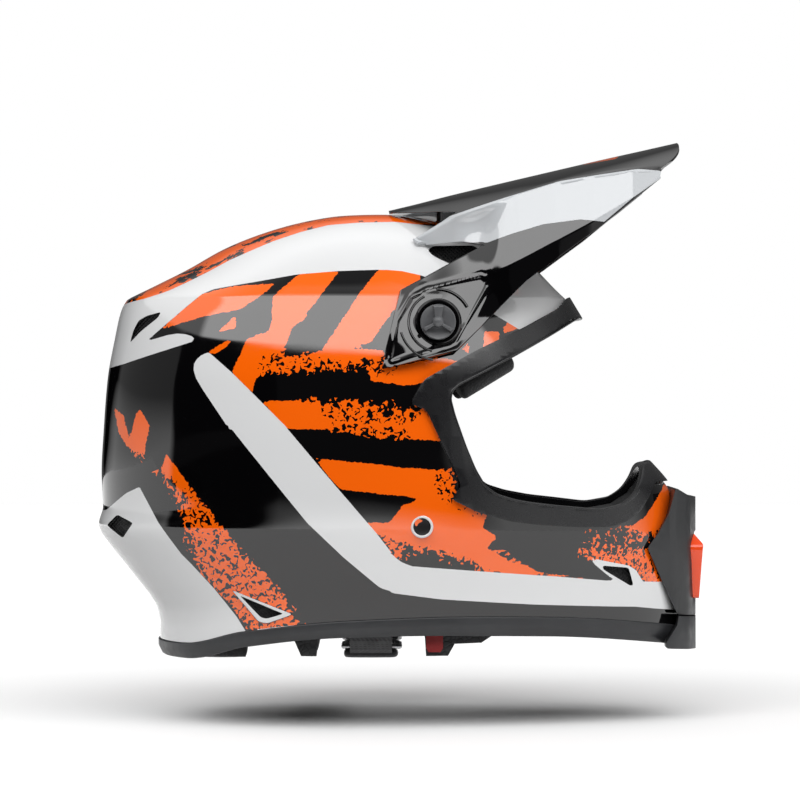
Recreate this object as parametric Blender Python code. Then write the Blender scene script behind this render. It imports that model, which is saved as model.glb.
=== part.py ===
"""Motocross helmet with an adjustable peak.

Frame: +X is the way the wearer looks, +Z is up, and the origin is under the middle of the
helmet on the surface that it stands on. Lengths are in millimetres and become metres in add_mesh.
"""

import math

import bmesh
import bpy
import numpy as np
from mathutils import Vector

# Driving dimensions
MM = 0.001
CROWN_Z = 270.4  # top of the shell
CORNER_Z = 217.0  # rear edge of the crown, where the back begins
EDGE_Z = 10.0  # lower edge of the shell at the back
LIFT_TOP_Z = 90.0  # the side walls rise with the lower edge up to here
SHELL_WALL = 3.5
GAP = 0.3  # between solids that touch
COLUMNS = 38  # points round a level of the shell

KNOB = (23.8, 201.3)  # x and z of the side screws, which the peak turns about
TOP_SCREW_X = 26.0
RIVET = (14.4, 81.6)  # x and z of the strap rivets
PEAK_WALL = 1.9
MIDDLE_X = 1.5  # the shape is drawn this far ahead of its place

# Outlines of the shell, as (z, value) pairs: back, front, half width, and x of the widest place.
BACK = [
    (0, -146.6), (19, -146.6), (28.6, -148.5), (36, -152.8), (44, -159), (56.5, -168.9), (69, -178.9),
    (74, -182.6), (79.4, -184.4), (90.6, -181.7), (112, -182.6), (137, -181.3), (168, -178.9), (193, -174.5),
    (211.5, -170.2), (217, -167.1), (224, -153.4), (236, -129.9), (248.7, -107.6), (261, -76), (267.3, -50.5),
    (269.5, -35.7), (270.4, -9),
]
FRONT = [
    (0, 175), (25, 176.5), (45, 175.5), (60, 173), (80, 171), (100, 168), (106, 164), (119, 153), (135, 145.5),
    (170, 131), (206, 111.5), (217, 105), (224, 97.6), (236, 86), (248.7, 70), (261, 43), (267.3, 21),
    (269.5, 6), (270.4, -9),
]
HALF_WIDTH = [
    (0, 103), (25, 106), (50, 111), (80, 117), (110, 120.5), (140, 122), (165, 121), (190, 116.5), (206, 111),
    (217, 105.5), (224, 100), (236, 88.5), (248.7, 71.5), (261, 47.5), (267.3, 27.5), (269.5, 14), (270.4, 0),
]
WIDEST_X = [(0, -30), (60, -30), (120, -32), (170, -36), (217, -38), (255, -28), (270.4, -9)]
BACK_POWER = [(0, 2.3), (217, 2.3), (240, 2.1), (270.4, 2.0)]
FRONT_POWER = [(0, 2.0), (110, 2.0), (170, 2.2), (217, 2.2), (270.4, 2.0)]
LOWER_EDGE = [(-147, 10), (-128, 10.3), (-91, 19), (-28, 26), (37, 28), (89, 27), (161, 20), (186, 14)]

# The hollow in the foam, as (z, back, front, half width)
HOLLOW = [
    (20, -112, 122, 84), (60, -128, 122, 88), (100, -138, 118, 88), (150, -140, 100, 88), (190, -134, 82, 84),
    (210, -122, 72, 77), (225, -98, 53, 61), (234, -66, 27, 37), (238, -20, -20, 0),
]
HOLLOW_TOP_Z = 238.0
HOLLOW_X = -27.0

# Side outlines of the eyeport: the opening and the outer edge of its rubber
EYEPORT_INNER = [
    (260, 206), (108, 206), (95, 197.6), (68.4, 182.3), (51, 172.8), (36, 165), (31.5, 161), (30.6, 156),
    (33, 146.5), (39.3, 128.4), (44.8, 115), (50.3, 105.5), (57.4, 100), (68.4, 96.5), (84, 93.7), (100, 92.1),
    (119, 90), (134, 93.2), (142.5, 99.5), (147, 107.5), (149, 115.5), (153, 117.5), (260, 117.5),
]
EYEPORT_OUTER = [
    (260, 219), (104.3, 219), (96.9, 211), (75.3, 199), (46.3, 184.8), (15.8, 167.8), (7.5, 153.7), (16.7, 150.3),
    (25.5, 131.4), (32.8, 116.6), (37.6, 105.2), (31.4, 97.8), (47.7, 89.7), (66.5, 84.3), (84, 82), (107, 80.3),
    (127, 80), (137.9, 83), (146, 88.3), (151.4, 96.5), (156.8, 106), (160, 106), (260, 106),
]


# ---------------------------------------------------------------- numbers
def spline(table, at):
    """Values of a smooth curve that never overshoots its (place, value) pairs."""
    xs, ys = (np.array(c, float) for c in zip(*table))
    h, slope = np.diff(xs), np.diff(ys) / np.diff(xs)
    tangent = np.empty(len(xs))
    tangent[0], tangent[-1] = slope[0], slope[-1]
    for i in range(1, len(xs) - 1):
        a, b = slope[i - 1], slope[i]
        before, after = h[i - 1], h[i]
        flat = a * b <= 0
        tangent[i] = 0 if flat else 3 * (before + after) / ((2 * after + before) / a + (after + 2 * before) / b)
    at = np.clip(np.asarray(at, float), xs[0], xs[-1])
    i = np.clip(np.searchsorted(xs, at, side="right") - 1, 0, len(xs) - 2)
    t = (at - xs[i]) / h[i]
    return (
        (1 + 2 * t) * (1 - t) ** 2 * ys[i] + t * (1 - t) ** 2 * h[i] * tangent[i]
        + t * t * (3 - 2 * t) * ys[i + 1] + t * t * (t - 1) * h[i] * tangent[i + 1]
    )


def rank(z, corner=CORNER_Z, top=CROWN_Z):
    """A place along a profile that runs evenly over the dome: 0 to 1 up to the corner, 1 to 2 over the crown."""
    z = np.asarray(z, float)
    over = np.sqrt(np.clip(1 - (z - corner) / (top - corner), 0, 1))
    return np.where(z < corner, z / corner, 2 - over)


def level_z(r, corner=CORNER_Z, top=CROWN_Z):
    return r * corner if r < 1 else corner + (top - corner) * (1 - (2 - r) ** 2)


def by_rank(table, z, **limits):
    return spline([(float(rank(k, **limits)), v) for k, v in table], rank(z, **limits))


def superellipse(back, front, half, widest, back_power, front_power, columns):
    """Points round one level, from the front centre by the left side."""
    points = []
    for k in range(columns):
        a = 2 * math.pi * k / columns
        c, s = math.cos(a), math.sin(a)
        power = front_power if c >= 0 else back_power
        reach = front - widest if c >= 0 else back - widest
        x = widest + reach * abs(c) ** (2 / power)
        points.append((x, half * math.copysign(abs(s) ** (2 / power), s)))
    return np.array(points)


def shell_level(z, columns):
    return superellipse(
        *(float(by_rank(t, z)) for t in (BACK, FRONT, HALF_WIDTH, WIDEST_X, BACK_POWER, FRONT_POWER)), columns
    )


def lifted(x, z):
    """The height of a point after the side walls' lower edge is raised."""
    fall = np.clip((LIFT_TOP_Z - z) / (LIFT_TOP_Z - EDGE_Z), 0, 1) ** 1.5
    return z + (spline(LOWER_EDGE, x) - EDGE_Z) * fall


LEVELS = [10, 22, 32, 45, 58, 69, 75, 79.4, 86, 98, 118, 142, 165, 188, 205, 217]
CROWN_RANKS = [1.08, 1.19, 1.32, 1.47, 1.63, 1.78, 1.91]


def shell_rows(columns=COLUMNS):
    """Rings of points on the shell's outside, from the lower edge up, without the pole."""
    zs = LEVELS + [level_z(r) for r in CROWN_RANKS]
    rows = []
    for z in zs:
        flat = shell_level(z, columns)
        rows.append(np.column_stack([flat, lifted(flat[:, 0], np.full(columns, float(z)))]))
    return np.array(rows), np.array([BACK[-1][1], 0, CROWN_Z])


def row_normals(rows, pole):
    """Outward normals of rings of points that close over a pole."""
    padded = np.concatenate([rows, np.repeat(pole[None, None], rows.shape[1], 1)])
    up = np.empty_like(rows)
    up[0] = padded[1] - padded[0]
    up[1:] = padded[2:] - padded[:-2]
    around = np.roll(rows, -1, 1) - np.roll(rows, 1, 1)
    normal = np.cross(around, up)
    return normal / np.linalg.norm(normal, axis=2, keepdims=True)


SHELL_ROWS, SHELL_POLE = shell_rows()
SHELL_NORMALS = row_normals(SHELL_ROWS, SHELL_POLE)


def shell_offset(distance, first=0):
    """The shell's outside moved along its normals, as rings and a pole."""
    return SHELL_ROWS[first:] + distance * SHELL_NORMALS[first:], SHELL_POLE + [0, 0, distance]


def hollow_rows(inset, columns=COLUMNS, lowest=24.0):
    """Rings and a pole of the foam's hollow, made smaller by inset."""
    zs = [lowest, 60, 100, 140, 170, 195, 210] + [level_z(r, 210.0, HOLLOW_TOP_Z) for r in (1.2, 1.42, 1.65, 1.87)]
    limits = {"corner": 210.0, "top": HOLLOW_TOP_Z}
    rows = []
    for z in zs:
        back, front, half = (float(by_rank([(r[0], r[i]) for r in HOLLOW], z, **limits)) for i in (1, 2, 3))
        flat = superellipse(back, front, half, HOLLOW_X, 2.2, 2.2, columns)
        rows.append(np.column_stack([flat, np.full(columns, z)]))
    rows, pole = np.array(rows), np.array([HOLLOW[-1][1], 0, HOLLOW_TOP_Z])
    return rows - inset * row_normals(rows, pole), pole - [0, 0, inset]


def half_width_at(x, z):
    """The shell's half width at a place in the side view."""
    back, front, half, widest, bp, fp = (
        by_rank(t, z) for t in (BACK, FRONT, HALF_WIDTH, WIDEST_X, BACK_POWER, FRONT_POWER)
    )
    ahead = np.asarray(x) >= widest
    reach = np.where(ahead, np.maximum(front - widest, 1e-6), np.minimum(back - widest, -1e-6))
    share = np.abs((x - widest) / reach)
    power = np.where(ahead, fp, bp)
    return half * np.clip(1 - share ** power, 0, 1) ** (1 / power)


# ---------------------------------------------------------------- Blender helpers
def clear_scene():
    for obj in list(bpy.data.objects):
        bpy.data.objects.remove(obj)


def material(name, colour, roughness, metallic=0.0):
    made = bpy.data.materials.get(name)
    if made is None:
        made = bpy.data.materials.new(name)
        made.use_nodes = True
        shader = made.node_tree.nodes["Principled BSDF"]
        shader.inputs["Base Color"].default_value = (*colour, 1)
        shader.inputs["Roughness"].default_value = roughness
        shader.inputs["Metallic"].default_value = metallic
        made.diffuse_color = (*colour, 1)
    return made


def add_mesh(name, points, faces, look=None, smooth=True):
    """A new object from points in millimetres, with its faces turned outwards."""
    mesh = bpy.data.meshes.new(name)
    mesh.from_pydata([tuple(float(c) * MM for c in p) for p in points], [], faces)
    work = bmesh.new()
    work.from_mesh(mesh)
    bmesh.ops.remove_doubles(work, verts=work.verts, dist=1e-6)
    bmesh.ops.recalc_face_normals(work, faces=work.faces)
    if work.calc_volume(signed=True) < 0:
        bmesh.ops.reverse_faces(work, faces=work.faces)
    work.to_mesh(mesh)
    work.free()
    if look:
        mesh.materials.append(look)
    if smooth:
        mesh.shade_smooth()
        mesh.set_sharp_from_angle(angle=math.radians(35))
    obj = bpy.data.objects.new(name, mesh)
    bpy.context.scene.collection.objects.link(obj)
    return obj


def combine(target, tool, operation="DIFFERENCE"):
    """Cuts, joins or intersects target with tool, which is then removed."""
    modifier = target.modifiers.new("shape", "BOOLEAN")
    modifier.operation, modifier.object, modifier.solver = operation, tool, "EXACT"
    bpy.context.view_layer.update()
    graph = bpy.context.evaluated_depsgraph_get()
    mesh = bpy.data.meshes.new_from_object(target.evaluated_get(graph))
    target.modifiers.clear()
    target.data = mesh
    bpy.data.objects.remove(tool)
    return target


def ring_faces(rows, columns, start=0):
    return [
        (start + i * columns + k, start + i * columns + (k + 1) % columns,
         start + (i + 1) * columns + (k + 1) % columns, start + (i + 1) * columns + k)
        for i in range(rows - 1)
        for k in range(columns)
    ]


def bowl(name, outer, inner, look):
    """A closed wall between two domes, each given as (rings, pole), joined round their lower edges."""
    points, faces, starts = [], [], []
    for rings, pole in (outer, inner):
        count, columns = rings.shape[:2]
        starts.append(len(points))
        faces += ring_faces(count, columns, len(points))
        points += list(rings.reshape(-1, 3)) + [pole]
        last, tip = len(points) - 1 - columns, len(points) - 1
        faces += [(last + k, last + (k + 1) % columns, tip) for k in range(columns)]
    columns = outer[0].shape[1]
    a, b = starts
    if inner[0].shape[1] == columns:
        faces += [(a + k, b + k, b + (k + 1) % columns, a + (k + 1) % columns) for k in range(columns)]
    return add_mesh(name, points, faces, look)


def dome(name, rings, pole):
    """A solid dome with a flat-ish lower face."""
    count, columns = rings.shape[:2]
    points = list(rings.reshape(-1, 3)) + [pole, rings[0].mean(0)]
    faces = ring_faces(count, columns)
    last, tip, foot = (count - 1) * columns, count * columns, count * columns + 1
    faces += [(last + k, last + (k + 1) % columns, tip) for k in range(columns)]
    faces += [(k, foot, (k + 1) % columns) for k in range(columns)]
    return add_mesh(name, points, faces)


def prism(outline, low, high, axis="Y", name="tool"):
    """An outline extruded along an axis. It is in x and z for Y, y and z for X, and x and y for Z."""
    place = {
        "Y": lambda a, b, c: (a, c, b),
        "X": lambda a, b, c: (c, a, b),
        "Z": lambda a, b, c: (a, b, c),
    }[axis]
    n = len(outline)
    points = [place(a, b, c) for c in (low, high) for a, b in outline]
    faces = [tuple(range(n)), tuple(range(2 * n - 1, n - 1, -1))]
    faces += [(k, (k + 1) % n, n + (k + 1) % n, n + k) for k in range(n)]
    return add_mesh(name, points, faces, smooth=False)


def grown(outline, distance):
    """The outline moved outwards by distance, and inwards where it is negative."""
    points = np.array(outline, float)
    area = 0.5 * np.sum(points[:, 0] * np.roll(points[:, 1], -1) - points[:, 1] * np.roll(points[:, 0], -1))
    edge = np.roll(points, -1, 0) - points
    edge /= np.linalg.norm(edge, axis=1, keepdims=True)
    out = np.column_stack([edge[:, 1], -edge[:, 0]]) * math.copysign(1, area)
    before = np.roll(out, 1, 0)
    middle = out + before
    middle /= np.linalg.norm(middle, axis=1, keepdims=True)
    reach = distance / np.clip(np.sum(middle * out, axis=1), 0.5, 1)
    return [tuple(p) for p in points + middle * reach[:, None]]


def disc(centre, axis, radius, low, high, sides=20, name="tool", look=None):
    """A round solid about an axis, from low to high along it."""
    along = Vector(axis).normalized()
    turn = along.to_track_quat("Z", "Y")
    points = []
    for height in (low, high):
        for k in range(sides):
            a = 2 * math.pi * k / sides
            points.append(Vector(centre) + turn @ Vector((radius * math.cos(a), radius * math.sin(a), height)))
    faces = [tuple(range(sides)), tuple(range(2 * sides - 1, sides - 1, -1))]
    faces += [(k, (k + 1) % sides, sides + (k + 1) % sides, sides + k) for k in range(sides)]
    return add_mesh(name, points, faces, look, smooth=look is not None)


def turned(name, centre, axis, profile, look, sides=20):
    """A turned solid: profile is (radius, height) pairs from the axis at one end to the axis at the other."""
    along = Vector(axis).normalized()
    turn = along.to_track_quat("Z", "Y")
    points, rings = [], []
    for radius, height in profile:
        if radius == 0:
            rings.append([len(points)])
            points.append(Vector(centre) + turn @ Vector((0, 0, height)))
            continue
        rings.append(list(range(len(points), len(points) + sides)))
        for k in range(sides):
            a = 2 * math.pi * k / sides
            points.append(Vector(centre) + turn @ Vector((radius * math.cos(a), radius * math.sin(a), height)))
    faces = []
    for low, high in zip(rings, rings[1:]):
        for k in range(sides):
            quad = [low[k % len(low)], low[(k + 1) % len(low)], high[(k + 1) % len(high)], high[k % len(high)]]
            face = list(dict.fromkeys(quad))
            if len(face) > 2:
                faces.append(tuple(face))
    return add_mesh(name, points, faces, look)


def thicken(obj, thickness):
    """Turns a sheet into a wall, on the side that its faces look to."""
    modifier = obj.modifiers.new("wall", "SOLIDIFY")
    modifier.thickness, modifier.offset, modifier.use_even_offset = thickness * MM, 1, True
    return settle(obj)


def settle(obj):
    """Applies an object's modifiers."""
    bpy.context.view_layer.update()
    graph = bpy.context.evaluated_depsgraph_get()
    mesh = bpy.data.meshes.new_from_object(obj.evaluated_get(graph))
    obj.modifiers.clear()
    obj.data = mesh
    return obj


def finish(obj, name, look, angle=35):
    """Names a built object and gives it its one material."""
    obj.name = obj.data.name = name
    obj.data.materials.clear()
    obj.data.materials.append(look)
    obj.data.shade_smooth()
    obj.data.set_sharp_from_angle(angle=math.radians(angle))
    return obj


def put_origin(obj, x, y, z):
    """Moves the object's origin and leaves its shape where it is."""
    place = Vector((x, y, z)) * MM
    for vertex in obj.data.vertices:
        vertex.co -= place
    obj.location = place


def box(low, high):
    return prism([(low[0], low[2]), (high[0], low[2]), (high[0], high[2]), (low[0], high[2])], low[1], high[1])


def layer(outside, inside, first=0):
    """A wall that follows the shell, between two distances from its outside."""
    return bowl("layer", shell_offset(outside, first), shell_offset(inside, first), None)


def band(name, path, width, thickness, x_at, look):
    """Webbing: (y, z) points along its middle, swept with its width across x."""
    points = np.array(path, float)
    step = np.diff(points, axis=0)
    step /= np.linalg.norm(step, axis=1, keepdims=True)
    ahead = np.vstack([step, step[-1:]])
    behind = np.vstack([step[:1], step])
    along = ahead + behind
    along /= np.linalg.norm(along, axis=1, keepdims=True)
    across = np.column_stack([-along[:, 1], along[:, 0]])
    across /= np.clip(np.sum(along * ahead, axis=1), 0.6, 1)[:, None]
    vertices, faces = [], []
    for (y, z), (ny, nz) in zip(points, across * thickness / 2):
        for side, half in ((-1, -1), (1, -1), (1, 1), (-1, 1)):
            vertices.append((x_at(z) + side * width / 2, y + half * ny, z + half * nz))
    faces += ring_faces(len(points), 4)
    faces += [(0, 1, 2, 3), tuple(len(vertices) - k for k in (1, 2, 3, 4))]
    return add_mesh(name, vertices, faces, look)


# ---------------------------------------------------------------- materials
def paint():
    return material("orange_paint", (0.9, 0.14, 0.01), 0.2)


def black_plastic():
    return material("black_plastic", (0.012, 0.012, 0.013), 0.25)


def dark_rubber():
    return material("dark_rubber", (0.03, 0.031, 0.033), 0.7)


def grey_plastic():
    return material("grey_plastic", (0.05, 0.052, 0.055), 0.5)


def white_plastic():
    return material("white_plastic", (0.8, 0.8, 0.8), 0.3)


def mesh_steel():
    return material("black_mesh", (0.02, 0.02, 0.02), 0.5, 0.6)


def foam():
    return material("grey_foam", (0.2, 0.2, 0.21), 0.9)


def fabric():
    return material("black_fabric", (0.015, 0.015, 0.016), 0.9)


def red_fabric():
    return material("red_fabric", (0.5, 0.01, 0.01), 0.8)


def webbing():
    return material("webbing", (0.015, 0.015, 0.016), 0.8)


def steel():
    return material("steel", (0.6, 0.6, 0.62), 0.3, 1.0)


# ---------------------------------------------------------------- vents
BROW_VENT = [(18, 245.2), (21.6, 248.2), (45.7, 249.1), (49.3, 247), (47.5, 244), (31, 237), (21.6, 241.7)]
REAR_TOP_VENT = [
    (-140.8, 208.2), (-142.9, 204.6), (-154.2, 196.3), (-160.8, 190), (-158.7, 197.5), (-155.4, 203.4), (-150, 206.1),
]
REAR_SIDE_VENT = [(-93, 40.4), (-67, 29.9), (-77, 26.8), (-80.5, 27.5)]
CHIN_SIDE_VENT = [(122.6, 56.8), (138.9, 55), (141.9, 44.4), (140.1, 44), (122.9, 54.5)]
EXHAUST_SLOT = [(-176, 80), (-168.6, 86.8), (-157.8, 82.3), (-165, 72.7)]
SIDE_VENTS = {
    "brow_vent_mesh": (BROW_VENT, 20),
    "rear_top_vent_mesh": (REAR_TOP_VENT, 12),
    "rear_side_vent_mesh": (REAR_SIDE_VENT, 20),
    "chin_side_vent_mesh": (CHIN_SIDE_VENT, 20),
    "exhaust_vent_mesh": (EXHAUST_SLOT, 12),
}
MOUTH_OPENING = [(-30, 68), (-24, 34), (24, 34), (30, 68), (20, 76), (-20, 76)]


def outer_shell():
    shell = layer(0, -SHELL_WALL)
    combine(shell, prism(grown(EYEPORT_INNER, 3.7), -150, 150))
    for outline, inner in SIDE_VENTS.values():
        for side in (-1, 1):
            combine(shell, prism(outline, *sorted((side * inner, side * 150))))
    combine(shell, prism(grown(REAR_SIDE_VENT, 3), -150, -60))
    combine(shell, prism(grown(REAR_SIDE_VENT, 3), 60, 150))
    combine(shell, prism(MOUTH_OPENING, 130, 200, "X"))
    combine(shell, disc((KNOB[0], 0, KNOB[1]), (0, 1, 0), 3.3, -150, 150, 12))
    combine(shell, disc((RIVET[0], 0, RIVET[1]), (0, 1, 0), 2.8, -150, 150, 12))
    combine(shell, disc((TOP_SCREW_X, 0, 250), (0, 0, 1), 2.8, 0, 40, 12))
    finish(shell, "outer_shell", paint())


def vent_meshes():
    for name, (outline, inner) in SIDE_VENTS.items():
        for side, word in ((1, "left"), (-1, "right")):
            piece = layer(-1.0, -2.4)
            combine(piece, prism(grown(outline, -0.3), *sorted((side * inner, side * 150))), "INTERSECT")
            finish(piece, f"{name}_{word}", mesh_steel())


def rear_side_rims():
    """The white frames round the lower vents at the back."""
    for side, word in ((1, "left"), (-1, "right")):
        rim = layer(0.6, -3.2)
        combine(rim, prism(grown(REAR_SIDE_VENT, 2.7), *sorted((side * 60, side * 150))), "INTERSECT")
        combine(rim, prism(REAR_SIDE_VENT, -150, 150))
        finish(rim, f"rear_side_vent_rim_{word}", white_plastic())


# ---------------------------------------------------------------- foam
CHEEK_TOP = 96.0
CHEEK_BACK = -62.0
CHIN_BACK = 62.0
FOAM_ROWS = [k for k in range(23) if k not in (11, 13, 21)]  # rings of the shell that the foam follows


def foam_bowl():
    outer, pole = shell_offset(-SHELL_WALL - GAP)
    return bowl("foam", (outer[FOAM_ROWS], pole), hollow_rows(0), None)


def eps_crown_liner():
    """The foam of the crown, the back and the temples."""
    liner = foam_bowl()
    combine(liner, prism(grown(EYEPORT_INNER, 3.7), -150, 150))
    combine(liner, box((CHEEK_BACK, -150, -20), (250, 150, CHEEK_TOP)))
    combine(liner, box((100, -150, 90), (250, 150, 130)))
    for side in (-1, 1):
        combine(liner, disc((KNOB[0], 0, KNOB[1]), (0, side, 0), 9, 90, 150, 16))
    combine(liner, disc((TOP_SCREW_X, 0, 250), (0, 0, 1), 9, 7, 40, 16))
    finish(liner, "eps_crown_liner", foam())


def eps_chin_bar():
    """The foam of the chin bar, with the air way from the mouth vent."""
    chin = foam_bowl()
    combine(chin, prism(grown(EYEPORT_INNER, 3.7), -150, 150))
    combine(chin, box((CHIN_BACK, -150, -20), (250, 150, 130)), "INTERSECT")
    combine(chin, prism(grown(MOUTH_OPENING, 1), 80, 200, "X"))
    finish(chin, "eps_chin_bar", foam())


# ---------------------------------------------------------------- rubber edges
def eyeport_trim():
    trim = layer(2.6, GAP)
    combine(trim, prism(EYEPORT_OUTER, -150, 150), "INTERSECT")
    lip = layer(1.5, -6)
    combine(lip, prism(grown(EYEPORT_INNER, 3.4), -150, 150), "INTERSECT")
    combine(trim, lip, "UNION")
    combine(trim, prism(EYEPORT_INNER, -150, 150))
    finish(trim, "eyeport_trim", dark_rubber())


def edge_ring():
    """The rubber under the shell's lower edge, all the way round."""
    edge, out = SHELL_ROWS[0], SHELL_NORMALS[0] * [1, 1, 0]
    out = out / np.linalg.norm(out, axis=1, keepdims=True)
    deep = 9.6 + 2.2 * np.clip((edge[:, 0] + 60) / 110, 0, 1)
    section = [(0.9, -GAP, 0), (0.9, -4.5, 0), (-2, 0, 1), (-5, 0, 1), (-5, -GAP, 0)]
    rings = np.array([edge + a * out + np.outer(b - c * deep, [0, 0, 1]) for a, b, c in section])
    columns = edge.shape[0]
    faces = ring_faces(len(section) + 1, columns)
    count = len(section) * columns
    return add_mesh("ring", rings.reshape(-1, 3), [tuple(v % count for v in f) for f in faces])


FRONT_SEAM = [(174, 40), (170, 19), (161, 6), (159, -5), (260, -5), (260, 40)]
FRONT_BLOCK = [(163, 12), (170.5, 24.2), (190, 22.2), (190, 5), (184, 3), (163, 5)]


# ---------------------------------------------------------------- chin vent
SURROUND = [
    (190, 95), (178.7, 97), (169.8, 102.2), (164.8, 86.5), (157.9, 74.9), (151, 66.5), (160.2, 46.5), (168.3, 29.6),
    (171, 25), (190, 23),
]
SURROUND_PLAN = [(140, -62), (152, -53), (168, -41), (178, -30), (183.5, -16), (184.5, 0)]
BEAK_SIDE = [(172, 78), (180.9, 75.1), (187.4, 67.2), (186.9, 64.6), (184.9, 31), (172, 31)]
BEAK_FRONT = [(-26, 66), (-20, 34), (20, 34), (26, 66), (17, 75), (-17, 75)]
BEAK_SLOTS = [(-17, 44, 52), (-19, 56, 64)]


def dome_of(distance):
    return dome("dome", *shell_offset(distance))


def nose_prism():
    """The space inside the blunt nose of the chin bar."""
    return prism(SURROUND_PLAN + [(x, -y) for x, y in SURROUND_PLAN[-2::-1]], -20, 150, "Z")


def base_trims():
    """The rubber edge, and its blunt front piece below the chin vent."""
    rear = edge_ring()
    combine(rear, prism(grown(FRONT_SEAM, 0.15), -150, 150))
    finish(rear, "base_trim_rear", dark_rubber())
    front = edge_ring()
    block = prism(FRONT_BLOCK, -80, 80)
    combine(block, nose_prism(), "INTERSECT")
    combine(block, dome_with_skirt(-3))
    combine(front, block, "UNION")
    combine(front, dome_of(GAP))
    combine(front, prism(grown(FRONT_SEAM, -0.15), -150, 150), "INTERSECT")
    finish(front, "base_trim_front", dark_rubber())


def chin_vent_surround():
    frame = prism(SURROUND, -80, 80)
    combine(frame, nose_prism(), "INTERSECT")
    combine(frame, dome_of(GAP))
    combine(frame, prism(grown(BEAK_FRONT, 0.4), 100, 220, "X"))
    finish(frame, "chin_vent_surround", grey_plastic())


def mouthpiece():
    """The orange beak with its two rows of slots."""
    beak = prism(BEAK_SIDE, -60, 60)
    combine(beak, prism(BEAK_FRONT, 100, 220, "X"), "INTERSECT")
    combine(beak, dome_of(3.4))
    for half, low, high in BEAK_SLOTS:
        for side in (-1, 1):
            ys = sorted((side * 3, side * -half))
            combine(beak, box((150, ys[0], low), (220, ys[1], high)))
    finish(beak, "mouthpiece", paint())


def mouth_mesh():
    mesh = layer(-0.6, -2.0)
    combine(mesh, prism(grown(MOUTH_OPENING, -0.3), 130, 200, "X"), "INTERSECT")
    finish(mesh, "mouth_vent_mesh", mesh_steel())


# ---------------------------------------------------------------- peak
# Along the peak, station by station: x and z of the crest, x, y and z of the ridge, x and z of the lower edge
PEAK_STATIONS = [
    (-5, 270.9, 10, 64, 250.5, 12, 248.6),
    (12, 274.9, 22, 71, 256.5, 25, 249.2),
    (30, 279.4, 36, 78, 264.5, 39, 249.6),
    (52, 284.6, 53, 84, 270.5, 52.6, 201.9),
    (76, 290.2, 72, 88, 276, 76, 226),
    (100, 295.8, 93, 88.5, 282.5, 97, 241.5),
    (125, 301.8, 115, 86, 287, 120, 258.5),
    (150, 307.6, 138, 80, 291, 140, 275),
    (173, 313, 157, 69, 293, 156, 288),
]
# Side outline of the notch that leaves a pointed tongue at the middle of the rear edge
REAR_NOTCH = [(-30, 270.4), (-8, 270.4), (22.6, 269.2), (35, 268), (26.2, 262), (10.4, 252.6), (-30, 240)]
WING_START = 3
WING_ROW = 0.35  # how far down the side the wing's upper edge leaves the hood
# From the hood back to the wing's rear edge: x and z of its upper and lower edges
WING = [(51.8, 246.5, 52.6, 201.9), (36, 238.5, 34.7, 184), (17.6, 228.4, 15.3, 179.3), (1.3, 219.8, -8.9, 173.5)]
PEAK_STANDOFF = 2.6  # from the shell to the inside of the wings


def peak_lines(fine):
    count = (len(PEAK_STATIONS) - 1) * fine + 1
    at = np.linspace(0, len(PEAK_STATIONS) - 1, count)
    columns = list(zip(*PEAK_STATIONS))
    curved = [spline(list(enumerate(c)), at) for c in columns[:5]]
    return curved + [np.interp(at, range(len(PEAK_STATIONS)), c) for c in columns[5:]]


def side_y(x, z):
    """How far out the inside of the peak's side is: on the shell behind the screws, straight ahead of them."""
    ridge_x, ridge_y, ridge_z = (np.array([s[i] for s in PEAK_STATIONS]) for i in (2, 3, 4))
    free = np.interp(x, ridge_x, ridge_y) + 0.21 * (np.interp(x, ridge_x, ridge_z) - z)
    held = half_width_at(min(x, 24.0), z) + PEAK_STANDOFF * 1.08
    share = min(max((x - 24.0) / 28.0, 0.0), 1.0)
    share = share * share * (3 - 2 * share)
    return max((1 - share) * held + share * free, half_width_at(x, z) + PEAK_STANDOFF * 1.1)


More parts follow.
